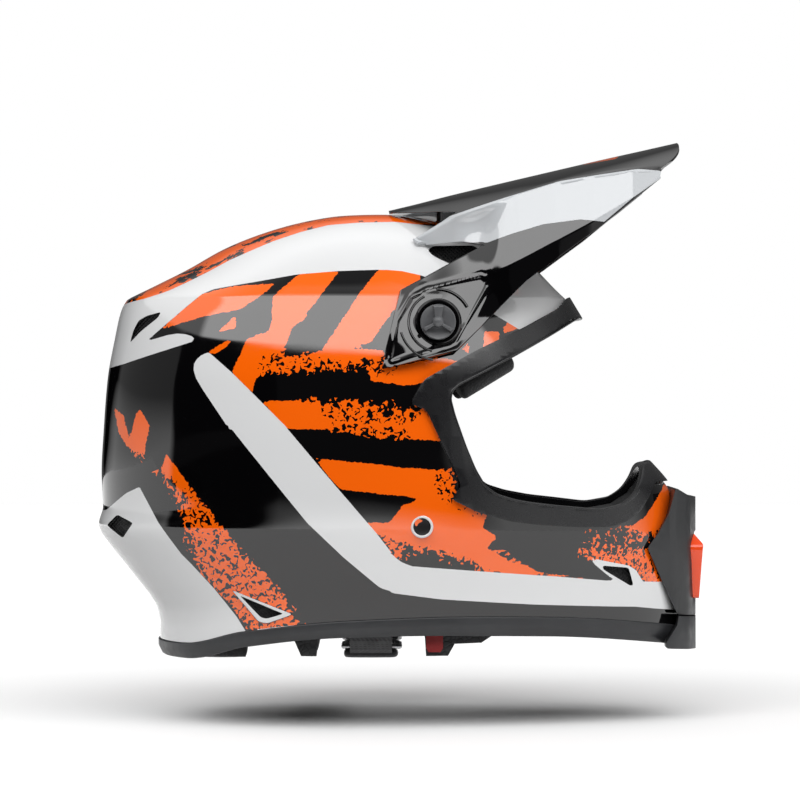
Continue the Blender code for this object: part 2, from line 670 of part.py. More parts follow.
def peak_sheet(fine=2, across=8, down=4):
    """The inside of the peak as a sheet of points and faces."""
    points, faces, index = [], [], {}

    def vertex(key, place):
        if key not in index:
            index[key] = len(points)
            points.append(place)
        return index[key]

    cx, cz, rx, ry, rz, lx, lz = peak_lines(fine)
    ry = np.maximum(ry, half_width_at(rx, rz) + PEAK_STANDOFF + 1)
    count, start = len(cx), WING_START * fine

    def top(i, j):
        v = 2 * j / across - 1
        tip = (i / (count - 1)) ** 3
        bend = abs(v) ** (1.8 + 1.7 * tip)
        place = (cx[i] + (rx[i] - cx[i]) * bend, ry[i] * v, cz[i] + (rz[i] - cz[i]) * abs(v) ** (2.2 - 0.5 * tip))
        return vertex(("top", i, j), place)

    def side(sign, i, k):
        if k == 0:
            return top(i, 0 if sign < 0 else across)
        if i < start:
            share = k / (down // 2)
            x, z = rx[i] + (lx[i] - rx[i]) * share, rz[i] + (lz[i] - rz[i]) * share
            y = max(ry[i] + 0.1 * (rz[i] - z), float(half_width_at(x, z)) + PEAK_STANDOFF + 0.6)
        else:
            share = WING_ROW * 2 * k / down if k <= down // 2 else WING_ROW + (1 - WING_ROW) * (2 * k / down - 1)
            x, z = rx[i] + (lx[i] - rx[i]) * share, rz[i] + (lz[i] - rz[i]) * share
            y = side_y(x, z)
        return vertex((sign, i, k), (x, sign * y, z))

    for i in range(count - 1):
        for j in range(across):
            faces.append((top(i, j), top(i + 1, j), top(i + 1, j + 1), top(i, j + 1)))
        last = down if i >= start else down // 2
        for sign in (-1, 1):
            for k in range(last):
                faces.append((side(sign, i, k), side(sign, i + 1, k), side(sign, i + 1, k + 1), side(sign, i, k + 1)))

    def wing(sign, c, k):
        """Column c back from the hood and row k below the wing's upper edge."""
        if c == 0:
            return side(sign, start, down // 2 + k)
        at = c / 2
        ux, uz, bx, bz = (np.interp(at, range(len(WING)), values) for values in zip(*WING))
        share = 2 * k / down
        x, z = ux + (bx - ux) * share, uz + (bz - uz) * share
        return vertex(("wing", sign, c, k), (x, sign * side_y(x, z), z))

    for sign in (-1, 1):
        for c in range(2 * (len(WING) - 1)):
            for k in range(down // 2):
                faces.append((wing(sign, c, k), wing(sign, c + 1, k), wing(sign, c + 1, k + 1), wing(sign, c, k + 1)))
    return points, faces


def screw_face():
    """How far out the side screws' heads bear."""
    ring = [(KNOB[0] + 12 * math.cos(a), KNOB[1] + 12 * math.sin(a)) for a in np.linspace(0, 2 * math.pi, 24)]
    return max(side_y(x, z) for x, z in ring) + PEAK_WALL + 0.4


# Side outlines of the pocket that the top screw sits in
TOP_POCKET_OUTSIDE = [(2.5, 271.9), (18.5, 273.9), (36.2, 273.9), (36.2, 281.8), (2.5, 273.7)]
TOP_POCKET_INSIDE = [(5, 273.6), (18.5, 275.5), (34.7, 275.5), (34.7, 300), (5, 300)]


def peak():
    points, faces = peak_sheet()
    sheet = add_mesh("peak", points, faces)
    work = bmesh.new()
    work.from_mesh(sheet.data)
    bmesh.ops.recalc_face_normals(work, faces=work.faces)
    top_face = max(work.faces, key=lambda f: f.calc_center_median().z)
    if top_face.normal.z < 0:
        bmesh.ops.reverse_faces(work, faces=work.faces)
    work.to_mesh(sheet.data)
    work.free()
    thicken(sheet, PEAK_WALL)
    combine(sheet, prism(REAR_NOTCH, -100, 100))
    face = screw_face()
    for side in (-1, 1):
        boss = disc((KNOB[0], 0, KNOB[1]), (0, side, 0), 14.6, face - 12, face, 24)
        combine(boss, dome_of(PEAK_STANDOFF))
        combine(sheet, boss, "UNION")
        combine(sheet, disc((KNOB[0], 0, KNOB[1]), (0, side, 0), 3.5, 60, 150, 12))
    combine(sheet, prism(TOP_POCKET_OUTSIDE, -9.2, 9.2), "UNION")
    combine(sheet, prism(TOP_POCKET_INSIDE, -7.6, 7.6))
    combine(sheet, box((TOP_SCREW_X - 14, -3.2, 250), (TOP_SCREW_X + 3.2, 3.2, 300)))
    finish(sheet, "peak", black_plastic(), 30)
    put_origin(sheet, KNOB[0], 0, KNOB[1])


# ---------------------------------------------------------------- fasteners
SIDES = ((1, "left"), (-1, "right"))


def shell_y(point):
    return float(half_width_at(*point))


def peak_side_screws():
    """The winged screws that hold the peak at the sides and that it turns about."""
    face = screw_face() + GAP
    for side, word in SIDES:
        at = (KNOB[0], 0, KNOB[1])
        shank_end = shell_y(KNOB) - 14
        head = [(0, shank_end), (2.3, shank_end), (2.3, face), (9.2, face), (9.2, face + 3.5), (7.5, face + 4.5)]
        head += [(5, face + 5), (4.2, face + 6.2), (0, face + 6.8)]
        knob = turned("knob", at, (0, side, 0), head, None, 24)
        for k in range(3):
            a = 2 * math.pi * k / 3 + 0.5
            spot = (KNOB[0] + 8.3 * math.cos(a), 0, KNOB[1] + 8.3 * math.sin(a))
            combine(knob, disc(spot, (0, side, 0), 3.1, face, face + 4.3, 12), "UNION")
        finish(knob, f"peak_side_screw_{word}", grey_plastic())
        put_origin(knob, KNOB[0], side * face, KNOB[1])


def side_inserts():
    """The threaded inserts behind the shell for the side screws."""
    for side, word in SIDES:
        y = shell_y(KNOB)
        insert = disc((KNOB[0], 0, KNOB[1]), (0, side, 0), 8, y - 14.5, y + 5, 16)
        combine(insert, dome_of(-SHELL_WALL - GAP), "INTERSECT")
        combine(insert, disc((KNOB[0], 0, KNOB[1]), (0, side, 0), 2.6, 60, 150, 12))
        finish(insert, f"screw_insert_{word}", steel())


TOP_FACE = 276.0


def peak_top_screw():
    profile = [(0, 259), (1.8, 259), (1.8, TOP_FACE), (6.8, TOP_FACE), (6.8, TOP_FACE + 1.6), (5, TOP_FACE + 2.2)]
    profile.append((0, TOP_FACE + 2.3))
    turned("peak_top_screw", (TOP_SCREW_X, 0, 0), (0, 0, 1), profile, black_plastic(), 20)
    put_origin(bpy.data.objects["peak_top_screw"], TOP_SCREW_X, 0, TOP_FACE)


def top_insert():
    insert = disc((TOP_SCREW_X, 0, 0), (0, 0, 1), 8, 257.5, 280, 16)
    combine(insert, dome_of(-SHELL_WALL - GAP), "INTERSECT")
    combine(insert, disc((TOP_SCREW_X, 0, 0), (0, 0, 1), 2.1, 240, 300, 12))
    finish(insert, "screw_insert_top", steel())


def strap_rivets():
    for side, word in SIDES:
        y = shell_y(RIVET)
        head = y + 1
        profile = [(0, y - 9.8), (2.4, y - 9.8), (2.4, head), (5.4, head), (5.4, head + 0.8), (3.6, head + 2.2)]
        profile.append((0, head + 2.7))
        made = turned("rivet", (RIVET[0], 0, RIVET[1]), (0, side, 0), profile, None, 16)
        finish(made, f"strap_rivet_{word}", black_plastic())


def strap_anchors():
    """The steel plates between the webbing and the shell."""
    for side, word in SIDES:
        y = shell_y(RIVET)
        outline = [(RIVET[0] + a, RIVET[1] + b) for a, b in ((-11, -7), (11, -7), (11, 5), (6, 10), (-6, 10), (-11, 5))]
        plate = prism(outline, *sorted((side * (y - 8.0), side * (y - 6.8))))
        combine(plate, disc((RIVET[0], 0, RIVET[1]), (0, side, 0), 2.8, 60, 150, 12))
        finish(plate, f"strap_anchor_{word}", steel())


# ---------------------------------------------------------------- soft parts
def crown_pad():
    """The comfort liner of the crown and the brow."""
    outer, pole = hollow_rows(0.4)
    inner, inner_pole = hollow_rows(9.0)
    pad = bowl("pad", (outer, pole), (inner, inner_pole), None)
    combine(pad, prism(grown(EYEPORT_INNER, 6), -150, 150))
    combine(pad, box((CHEEK_BACK - 1.5, -150, -20), (250, 150, 98)))
    combine(pad, box((-250, -150, -20), (250, 150, 62)))
    combine(pad, box((60, -150, 62), (250, 150, 150)))
    finish(pad, "crown_pad", fabric())


def arc_block(outer_inset, inner_inset, low, high, start, end, name):
    """A cushion between two offsets of the shell's lower edge, for part of the way round."""
    edge, out = SHELL_ROWS[0, :, :2], SHELL_NORMALS[0, :, :2]
    out = out / np.linalg.norm(out, axis=1, keepdims=True)
    points, faces = [], []
    for k in range(start, end + 1):
        taper = min((k - start) / 3, (end - k) / 3, 1) ** 0.5
        middle = (outer_inset + inner_inset) / 2
        for inset, z in ((outer_inset, low), (outer_inset, high), (inner_inset, high), (inner_inset, low)):
            depth = middle + (inset - middle) * max(taper, 0.35)
            x, y = edge[k] - depth * out[k]
            points.append((x, y, z))
    faces += ring_faces(end + 1 - start, 4)
    faces += [(0, 1, 2, 3), tuple(len(points) - k for k in (1, 2, 3, 4))]
    return add_mesh(name, points, faces, smooth=False)


def neck_roll():
    start, end = round(COLUMNS * 0.335), round(COLUMNS * 0.665)
    roll = arc_block(9, 36, 0, 23, start, end, "roll")
    foam_tool = foam_bowl()
    grow = foam_tool.modifiers.new("grow", "DISPLACE")
    grow.strength, grow.mid_level = 1.2 * MM, 0
    settle(foam_tool)
    combine(roll, foam_tool)
    finish(roll, "neck_roll", fabric())


# The strap swings under the pads between these two places, so that they stop higher there
NOTCH_BACK, NOTCH_FRONT = -47.0, 16.0
CHEEK = [
    (-58, 0), (NOTCH_BACK - 1, 0), (NOTCH_BACK, 18), (NOTCH_FRONT, 18), (NOTCH_FRONT + 1, 0), (31, 0), (34, 9),
    (52, 9.5), (58, 14), (61, 30), (61, 70), (44, 90), (24, 95.5), (-40, 95.5), (-56, 90), (-61.5, 60), (-61.5, 12),
]
CHEEK_BASE = [
    (-57, 4), (NOTCH_BACK - 1, 4), (NOTCH_BACK, 20), (NOTCH_FRONT, 20), (NOTCH_FRONT + 1, 4), (30, 4), (34, 11),
    (50, 11.5), (57, 16), (60.5, 31), (60.5, 68), (43, 89), (24, 95), (-40, 95), (-55, 89), (-61, 60), (-61, 13),
]


def cheek_bases():
    """The stiff foam blocks behind the cheek pads, clear of the strap."""
    for side, word in SIDES:
        block = prism(CHEEK_BASE, *sorted((side * 76.3, side * 130)))
        combine(block, dome_with_skirt(-12.5), "INTERSECT")
        finish(block, f"cheek_base_{word}", foam())


def dome_with_skirt(distance):
    rings, pole = shell_offset(distance)
    skirt = rings[:1].copy()
    skirt[:, :, 2] -= 40
    return dome("dome", np.concatenate([skirt, rings]), pole)


def cheek_cushions():
    for side, word in SIDES:
        cushion = prism(CHEEK, *sorted((side * 56, side * 76)))
        bevel = cushion.modifiers.new("round", "BEVEL")
        bevel.width, bevel.segments, bevel.limit_method = 3 * MM, 1, "ANGLE"
        settle(cushion)
        combine(cushion, dome("tool", *hollow_rows(0.4, lowest=-20)), "INTERSECT")
        finish(cushion, f"cheek_cushion_{word}", fabric())


# ---------------------------------------------------------------- strap
STRAP_WIDTH, STRAP_THICKNESS = 25.0, 1.6
STRAP_LEAN = 0.385  # how far back the hanging strap goes for each millimetre down
STRAP_SIDE = [
    (105.1, 91), (105.1, 81.6), (104.2, 70), (101.2, 52), (98.2, 38), (95.6, 28), (94.8, 20), (93.3, 13.5), (89, 8.4),
    (82, 5.6), (72, 4.6), (60, 4.2),
]
BUCKLE_Y = 12.0  # the buckle sits off the middle
RING_NEAR = [(-51, 6.0), (-42.5, 12.8)]  # y and z of each ring's straight bar and of its far bar
RING_FAR = [(-29.5, 6.9), (-20.5, 8.6)]
RIGHT_END = [
    (-60, 3.7), (-51, 3.2), (-44, 3.4), (-40.5, 5), (-39, 8), (-38.6, 12.8), (-40, 15.2), (-42.5, 16), (-45.5, 15),
    (-48, 12), (-52, 9.6), (-58, 7), (-62, 6.2), (-66, 6.1),
]
LEFT_END = [
    (20, 3.7), (-31, 3.6), (-33.2, 4.6), (-34, 6.8), (-33, 8.8), (-30.5, 9.7), (-28.5, 9.6), (-26.3, 8.2), (-25, 6.6),
    (-22, 6.0), (-10, 5.9), (34, 5.9),
]


def strap_x(z):
    return RIVET[0] - (RIVET[1] - min(z, RIVET[1])) * STRAP_LEAN if z > 20 else RIVET[0] - (RIVET[1] - 3.5) * STRAP_LEAN


def hang(obj):
    """Puts the origin of a piece of the strap on the axis that the strap swings about."""
    put_origin(obj, RIVET[0], 0, RIVET[1])


def strap_path(side, end):
    return [(side * y, z) for y, z in STRAP_SIDE] + [(y + BUCKLE_Y, z) for y, z in end]


def straps():
    for side, word, end in ((1, "left", LEFT_END), (-1, "right", RIGHT_END)):
        strap = band("strap", strap_path(side, end), STRAP_WIDTH, STRAP_THICKNESS, strap_x, None)
        combine(strap, disc((RIVET[0], 0, RIVET[1]), (0, side, 0), 2.8, 60, 150, 12))
        finish(strap, f"chin_strap_{word}", webbing())
        hang(strap)


def strap_sleeves():
    """The padded sleeves on the strap at the jaw."""
    for side, word in SIDES:
        path = [(side * y, 5.3 + max(0, y - 78) * 0.16 - (82 - y) * 0.05) for y in (84, 78, 70, 58)]
        sleeve = band("sleeve", path, 34, 6.4, lambda z: strap_x(3), None)
        way = band("way", strap_path(side, [(20 * side - BUCKLE_Y, 4)]), 25.8, 2.4, lambda z: strap_x(3), None)
        combine(sleeve, way)
        finish(sleeve, f"strap_sleeve_{word}", fabric())
        hang(sleeve)


def d_rings():
    for (near, far), word in zip(zip(RING_NEAR, RING_FAR), ("lower", "upper")):
        length = math.hypot(far[0] - near[0], far[1] - near[1])
        flat = [(-17, 0), (-17, length - 5), (-15.8, length - 1.5), (-13, length), (13, length), (15.8, length - 1.5)]
        flat += [(17, length - 5), (17, 0)]
        middle = strap_x(3)
        points, faces = [], []
        count, sides, radius = len(flat), 8, 1.5
        for k, (x, d) in enumerate(flat):
            before, after = np.array(flat[k - 1]), np.array(flat[(k + 1) % count])
            here = np.array([x, d])
            out = (here - before) / np.linalg.norm(here - before) - (after - here) / np.linalg.norm(after - here)
            out /= np.linalg.norm(out)
            along = (after - here) / np.linalg.norm(after - here)
            stretch = 1 / max(abs(out[0] * along[1] - out[1] * along[0]), 0.5)
            for j in range(sides):
                a = 2 * math.pi * j / sides
                px, pd = here + out * radius * math.cos(a) * stretch
                up = radius * math.sin(a)
                ty, tz = (far[0] - near[0]) / length, (far[1] - near[1]) / length
                points.append((middle + px, near[0] + BUCKLE_Y + pd * ty - up * tz, near[1] + pd * tz + up * ty))
        total = count * sides
        faces = [tuple(v % total for v in f) for f in ring_faces(count + 1, sides)]
        hang(add_mesh(f"d_ring_{word}", points, faces, steel()))


def strap_snap():
    turned("strap_snap", (strap_x(3), 0, 0), (0, 0, 1), [(0, 7), (5.5, 7), (5.5, 7.8), (3.2, 8.4), (2.2, 9.6), (0, 9.6)],
           steel(), 16)
    snap = bpy.data.objects["strap_snap"]
    for vertex in snap.data.vertices:
        vertex.co.y += 36 * MM
    hang(snap)


def release_tabs():
    """The red tabs that pull the cheek pads out."""
    for side, word in SIDES:
        tab = prism([(17, 9), (18.5, 6.5), (25.5, 6.5), (27, 9), (27, 22), (17, 22)], *sorted((side * 90.8, side * 92)))
        finish(tab, f"release_tab_{word}", red_fabric())


def build():
    clear_scene()
    outer_shell()
    vent_meshes()
    rear_side_rims()
    eps_crown_liner()
    eps_chin_bar()
    eyeport_trim()
    base_trims()
    chin_vent_surround()
    mouthpiece()
    mouth_mesh()
    peak()
    peak_side_screws()
    side_inserts()
    peak_top_screw()
    top_insert()
    strap_rivets()
    strap_anchors()
    crown_pad()
    neck_roll()
    cheek_bases()
    cheek_cushions()
    straps()
    strap_sleeves()
    d_rings()
    strap_snap()
    release_tabs()
    for obj in bpy.data.objects:
        obj.location.x -= MIDDLE_X * MM


build()
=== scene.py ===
"""Looks of the motocross helmet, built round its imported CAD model.

Shapes are drawn in millimetres, x ahead and z up, 1.5 mm ahead of their place. add_mesh moves them back and
puts them in metres.
"""

import math

import bmesh
import bpy
import numpy as np
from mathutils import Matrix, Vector


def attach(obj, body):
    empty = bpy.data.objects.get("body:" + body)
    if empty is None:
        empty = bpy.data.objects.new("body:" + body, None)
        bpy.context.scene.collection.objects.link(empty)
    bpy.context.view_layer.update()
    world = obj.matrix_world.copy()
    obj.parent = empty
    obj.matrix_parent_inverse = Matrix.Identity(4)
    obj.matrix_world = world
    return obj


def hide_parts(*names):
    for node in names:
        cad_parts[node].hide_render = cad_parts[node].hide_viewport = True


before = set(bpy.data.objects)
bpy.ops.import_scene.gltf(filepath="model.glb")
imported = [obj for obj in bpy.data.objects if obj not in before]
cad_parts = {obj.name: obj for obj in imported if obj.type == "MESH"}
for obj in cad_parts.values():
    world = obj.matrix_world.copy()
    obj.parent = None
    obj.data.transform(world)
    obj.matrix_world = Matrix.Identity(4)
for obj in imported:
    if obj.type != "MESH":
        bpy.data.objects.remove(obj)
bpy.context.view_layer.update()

MM = 0.001
MIDDLE_X = 1.5
CROWN_Z, CORNER_Z, EDGE_Z, LIFT_TOP_Z = 270.4, 217.0, 10.0, 90.0
SHELL_WALL, GAP = 3.5, 0.3
INSIDE, OUTSIDE = 60, 150  # half widths between which a cut goes through one side
KNOB, RIVET, TOP_SCREW_X = (23.8, 201.3), (14.4, 81.6), 26.0
SIDES = ((1, "left"), (-1, "right"))
CORNER_POINTS = 4  # in each rounded corner of an outline

# Outlines of the shell, as (z, value) pairs: back, front, half width, and x of the widest place. These, and
# the eyeport, vents, chin and peak below, are the CAD part's own. Many of their values were read off the
# photograph by eye, put into millimetres by a scratch script and then changed by hand.
BACK = [
    (0, -146.6), (19, -146.6), (28.6, -148.5), (36, -152.8), (44, -159), (56.5, -168.9), (69, -178.9),
    (74, -182.6), (79.4, -184.4), (90.6, -181.7), (112, -182.6), (137, -181.3), (168, -178.9),
    (193, -174.5), (211.5, -170.2), (217, -167.1), (224, -153.4), (236, -129.9), (248.7, -107.6),
    (261, -76), (267.3, -50.5), (269.5, -35.7), (270.4, -9),
]
FRONT = [
    (0, 175), (25, 176.5), (45, 175.5), (60, 173), (80, 171), (100, 168), (106, 164), (119, 153),
    (135, 145.5), (170, 131), (206, 111.5), (217, 105), (224, 97.6), (236, 86), (248.7, 70), (261, 43),
    (267.3, 21), (269.5, 6), (270.4, -9),
]
HALF_WIDTH = [
    (0, 103), (25, 106), (50, 111), (80, 117), (110, 120.5), (140, 122), (165, 121), (190, 116.5),
    (206, 111), (217, 105.5), (224, 100), (236, 88.5), (248.7, 71.5), (261, 47.5), (267.3, 27.5),
    (269.5, 14), (270.4, 0),
]
WIDEST_X = [(0, -30), (60, -30), (120, -32), (170, -36), (217, -38), (255, -28), (270.4, -9)]
BACK_POWER = [(0, 2.3), (217, 2.3), (240, 2.1), (270.4, 2.0)]
FRONT_POWER = [(0, 2.0), (110, 2.0), (170, 2.2), (217, 2.2), (270.4, 2.0)]
LOWER_EDGE = [(-147, 10), (-128, 10.3), (-91, 19), (-28, 26), (37, 28), (89, 27), (161, 20), (186, 14)]

# Side outlines of the eyeport: the opening and the outer edge of its rubber
EYEPORT_INNER = [
    (260, 206), (108, 206), (95, 197.6), (68.4, 182.3), (51, 172.8), (36, 165), (31.5, 161), (30.6, 156),
    (33, 146.5), (39.3, 128.4), (44.8, 115), (50.3, 105.5), (57.4, 100), (68.4, 96.5), (84, 93.7),
    (100, 92.1), (119, 90), (134, 93.2), (142.5, 99.5), (147, 107.5), (149, 115.5), (153, 117.5),
    (260, 117.5),
]
EYEPORT_OUTER = [
    (260, 219), (104.3, 219), (96.9, 211), (75.3, 199), (46.3, 184.8), (15.8, 167.8), (7.5, 153.7),
    (16.7, 150.3), (25.5, 131.4), (32.8, 116.6), (37.6, 105.2), (31.4, 97.8), (47.7, 89.7), (66.5, 84.3),
    (84, 82), (107, 80.3), (127, 80), (137.9, 83), (146, 88.3), (151.4, 96.5), (156.8, 106), (160, 106),
    (260, 106),
]


# ---------------------------------------------------------------- numbers
def spline(table, at):
    """Values of a smooth curve that never overshoots its (place, value) pairs."""
    xs, ys = (np.array(c, float) for c in zip(*table))
    h, slope = np.diff(xs), np.diff(ys) / np.diff(xs)
    tangent = np.empty(len(xs))
    tangent[0], tangent[-1] = slope[0], slope[-1]
    for i in range(1, len(xs) - 1):
        a, b = slope[i - 1], slope[i]
        before, after = h[i - 1], h[i]
        flat = a * b <= 0
        tangent[i] = 0 if flat else 3 * (before + after) / (
            (2 * after + before) / a + (after + 2 * before) / b
        )
    at = np.clip(np.asarray(at, float), xs[0], xs[-1])
    i = np.clip(np.searchsorted(xs, at, side="right") - 1, 0, len(xs) - 2)
    t = (at - xs[i]) / h[i]
    return (
        (1 + 2 * t) * (1 - t) ** 2 * ys[i] + t * (1 - t) ** 2 * h[i] * tangent[i]
        + t * t * (3 - 2 * t) * ys[i + 1] + t * t * (t - 1) * h[i] * tangent[i + 1]
    )


def rank(z):
    """A place along a profile: 0 to 1 up to the corner, and 1 to 2 evenly over the crown."""
    z = np.asarray(z, float)
    over = np.sqrt(np.clip(1 - (z - CORNER_Z) / (CROWN_Z - CORNER_Z), 0, 1))
    return np.where(z < CORNER_Z, z / CORNER_Z, 2 - over)


def level_z(r):
    return r * CORNER_Z if r < 1 else CORNER_Z + (CROWN_Z - CORNER_Z) * (1 - (2 - r) ** 2)


def by_rank(table, z):
    return spline([(float(rank(k)), v) for k, v in table], rank(z))


def superellipse(back, front, half, widest, back_power, front_power, columns):
    """Points round one level, from the front centre by the left side."""
    points = []
    for k in range(columns):
        a = 2 * math.pi * k / columns
        c, s = math.cos(a), math.sin(a)
        power = front_power if c >= 0 else back_power
        reach = front - widest if c >= 0 else back - widest
        x = widest + reach * abs(c) ** (2 / power)
        points.append((x, half * math.copysign(abs(s) ** (2 / power), s)))
    return np.array(points)


def shell_level(z, columns):
    return superellipse(
        *(float(by_rank(t, z)) for t in (BACK, FRONT, HALF_WIDTH, WIDEST_X, BACK_POWER, FRONT_POWER)),
        columns
    )


def lifted(x, z):
    """The height of a point after the side walls' lower edge is raised."""
    fall = np.clip((LIFT_TOP_Z - z) / (LIFT_TOP_Z - EDGE_Z), 0, 1) ** 1.5
    return z + (spline(LOWER_EDGE, x) - EDGE_Z) * fall


def row_normals(rows, pole):
    """Outward normals of rings of points that close over a pole."""
    padded = np.concatenate([rows, np.repeat(pole[None, None], rows.shape[1], 1)])
    up = np.empty_like(rows)
    up[0] = padded[1] - padded[0]
    up[1:] = padded[2:] - padded[:-2]
    around = np.roll(rows, -1, 1) - np.roll(rows, 1, 1)
    normal = np.cross(around, up)
    return normal / np.linalg.norm(normal, axis=2, keepdims=True)


def half_width_at(x, z):
    """The shell's half width at a place in the side view."""
    back, front, half, widest, bp, fp = (
        by_rank(t, z) for t in (BACK, FRONT, HALF_WIDTH, WIDEST_X, BACK_POWER, FRONT_POWER)
    )
    ahead = np.asarray(x) >= widest
    reach = np.where(ahead, np.maximum(front - widest, 1e-6), np.minimum(back - widest, -1e-6))
    share = np.abs((x - widest) / reach)
    power = np.where(ahead, fp, bp)
    return half * np.clip(1 - share ** power, 0, 1) ** (1 / power)


BROW_VENT = [(18, 245.2), (21.6, 248.2), (45.7, 249.1), (49.3, 247), (47.5, 244), (31, 237), (21.6, 241.7)]
REAR_TOP_VENT = [
    (-140.8, 208.2), (-142.9, 204.6), (-154.2, 196.3), (-160.8, 190), (-158.7, 197.5), (-155.4, 203.4),
    (-150, 206.1),
]
REAR_SIDE_VENT = [(-93, 40.4), (-67, 29.9), (-77, 26.8), (-80.5, 27.5)]
CHIN_SIDE_VENT = [(122.6, 56.8), (138.9, 55), (141.9, 44.4), (140.1, 44), (122.9, 54.5)]
EXHAUST_SLOT = [(-176, 80), (-168.6, 86.8), (-157.8, 82.3), (-165, 72.7)]
SIDE_VENTS = {
    "brow_vent_mesh": (BROW_VENT, 20),
    "rear_top_vent_mesh": (REAR_TOP_VENT, 12),
    "rear_side_vent_mesh": (REAR_SIDE_VENT, 20),
    "chin_side_vent_mesh": (CHIN_SIDE_VENT, 20),
    "exhaust_vent_mesh": (EXHAUST_SLOT, 12),
}
MOUTH_OPENING = [(-30, 68), (-24, 34), (24, 34), (30, 68), (20, 76), (-20, 76)]


FRONT_SEAM = [(174, 40), (170, 19), (161, 6), (159, -5), (260, -5), (260, 40)]
FRONT_BLOCK = [(163, 12), (170.5, 24.2), (190, 22.2), (190, 5), (184, 3), (163, 5)]


SURROUND = [
    (190, 95), (178.7, 97), (169.8, 102.2), (164.8, 86.5), (157.9, 74.9), (151, 66.5), (160.2, 46.5),
    (168.3, 29.6), (171, 25), (190, 23),
]
SURROUND_PLAN = [(140, -62), (152, -53), (168, -41), (178, -30), (183.5, -16), (184.5, 0)]
BEAK_SIDE = [(172, 78), (180.9, 75.1), (187.4, 67.2), (186.9, 64.6), (184.9, 31), (172, 31)]
BEAK_FRONT = [(-26, 66), (-20, 34), (20, 34), (26, 66), (17, 75), (-17, 75)]
BEAK_SLOTS = [(-17, 44, 52), (-19, 56, 64)]


# Along the peak, station by station: x and z of the crest, x, y and z of the ridge, and x and z of the
# lower edge
PEAK_STATIONS = [
    (-5, 270.9, 10, 64, 250.5, 12, 248.6),
    (12, 274.9, 22, 71, 256.5, 25, 249.2),
    (30, 279.4, 36, 78, 264.5, 39, 249.6),
    (52, 284.6, 53, 84, 270.5, 52.6, 201.9),
    (76, 290.2, 72, 88, 276, 76, 226),
    (100, 295.8, 93, 88.5, 282.5, 97, 241.5),
    (125, 301.8, 115, 86, 287, 120, 258.5),
    (150, 307.6, 138, 80, 291, 140, 275),
    (173, 313, 157, 69, 293, 156, 288),
]
# Side outline of the notch that leaves a pointed tongue at the middle of the rear edge
REAR_NOTCH = [(-30, 270.4), (-8, 270.4), (22.6, 269.2), (35, 268), (26.2, 262), (10.4, 252.6), (-30, 240)]
WING_START = 3
WING_ROW = 0.35  # how far down the side the wing's upper edge leaves the hood
# From the hood back to the wing's rear edge: x and z of its upper and lower edges
WING = [
    (51.8, 246.5, 52.6, 201.9), (36, 238.5, 34.7, 184), (17.6, 228.4, 15.3, 179.3),
    (1.3, 219.8, -8.9, 173.5),
]
PEAK_STANDOFF = 2.6  # from the shell to the inside of the wings


# Side outlines of the pocket that the top screw sits in
TOP_POCKET_OUTSIDE = [(2.5, 271.9), (18.5, 273.9), (36.2, 273.9), (36.2, 281.8), (2.5, 273.7)]
TOP_POCKET_INSIDE = [(5, 273.6), (18.5, 275.5), (34.7, 275.5), (34.7, 300), (5, 300)]


# Outlines of the paint in the side view. They were read off the photograph by eye, and a scratch script
# worked out their millimetres on the shell's side. That leaves points near x = -1.4 and -4.3 that step back
# and forth and serve no shape.
WHITE_CROWN = [
    (-194.7, 175.8), (-174.4, 175.4), (-164.7, 177.3), (-136, 185.6), (-118.4, 190.8), (-121.4, 193.4),
    (-125.5, 194.6), (-130.2, 195), (-136.2, 194.2), (-142.2, 192.6), (-149.6, 190.8), (-141.1, 197.7),
    (-132.9, 204.4), (-124.8, 211.2), (-115.7, 218.6), (-109, 221.4), (-99.8, 223), (-82.6, 225.8),
    (-58.9, 230), (-34, 232), (-11.4, 232.8), (-1.4, 232.4), (-8.7, 232.9), (2.5, 232.1), (13.7, 229.6),
    (24.9, 225.9), (43, 214.9), (72.8, 197.3), (125.5, 217.7), (125.5, 310.7), (-209.2, 310.7),
]
CROWN_STRIP = [
    (-175.7, 212.5), (-165.4, 214.6), (-152.1, 216.7), (-138.9, 220.4), (-126.3, 226.2), (-112.8, 233.2),
    (-101.5, 239.7), (-90, 244.9), (-75.2, 251.5), (-58, 257.5), (-41.9, 261.8), (-23.3, 263.4),
    (-1.5, 264.1), (-2.6, 264.2), (8.9, 263), (25.6, 261.4), (50.6, 256.3), (88.3, 241.3), (110, 217.7),
    (125.5, 199.1), (150.3, 341.7), (-209.2, 341.7),
]
SWEEP = [
    (-141.1, 197.4), (-132.9, 204.4), (-124.8, 211.2), (-115.7, 218.6), (-99.7, 222.7), (-88.3, 223.7),
    (-71.7, 224.2), (-84.5, 214.1), (-92.3, 209.1), (-112.9, 205.3), (-126.8, 201.5),
]
STRIPE_1 = [
    (-58.9, 230), (-34, 232), (-41.7, 222), (-47.2, 214), (-53.3, 206.6), (-52.7, 203.8), (-61.6, 198.1),
    (-63.8, 190.3), (-69.8, 180.2), (-81.6, 171.3), (-84.9, 159.5), (-96.9, 172.4), (-91.3, 183.6),
    (-88.6, 191.5), (-75.1, 195.9), (-73.5, 202.7), (-73.2, 216.4), (-68.2, 221),
]
STRIPE_2 = [
    (-11.4, 232.8), (4.5, 232.7), (13.5, 230.4), (13.4, 209.6), (-1.4, 209.5), (-15.7, 189.1),
    (-30.2, 186.3), (-9, 184.4), (-9, 176.8), (-31.3, 175.7), (-53.6, 173.5), (-80.5, 170.7),
    (-78.3, 180.2), (-70.4, 179.6), (-44.7, 183.5), (-37.5, 194.7), (-22, 218.6),
]
WEDGE = [
    (-110.7, 183.9), (-105.6, 187.6), (-97.1, 191.5), (-98.8, 188.1), (-106.7, 182.6),
]
WEDGE_2 = [
    (-105.7, 195.5), (-95.1, 205.3), (-94.9, 197.7),
]
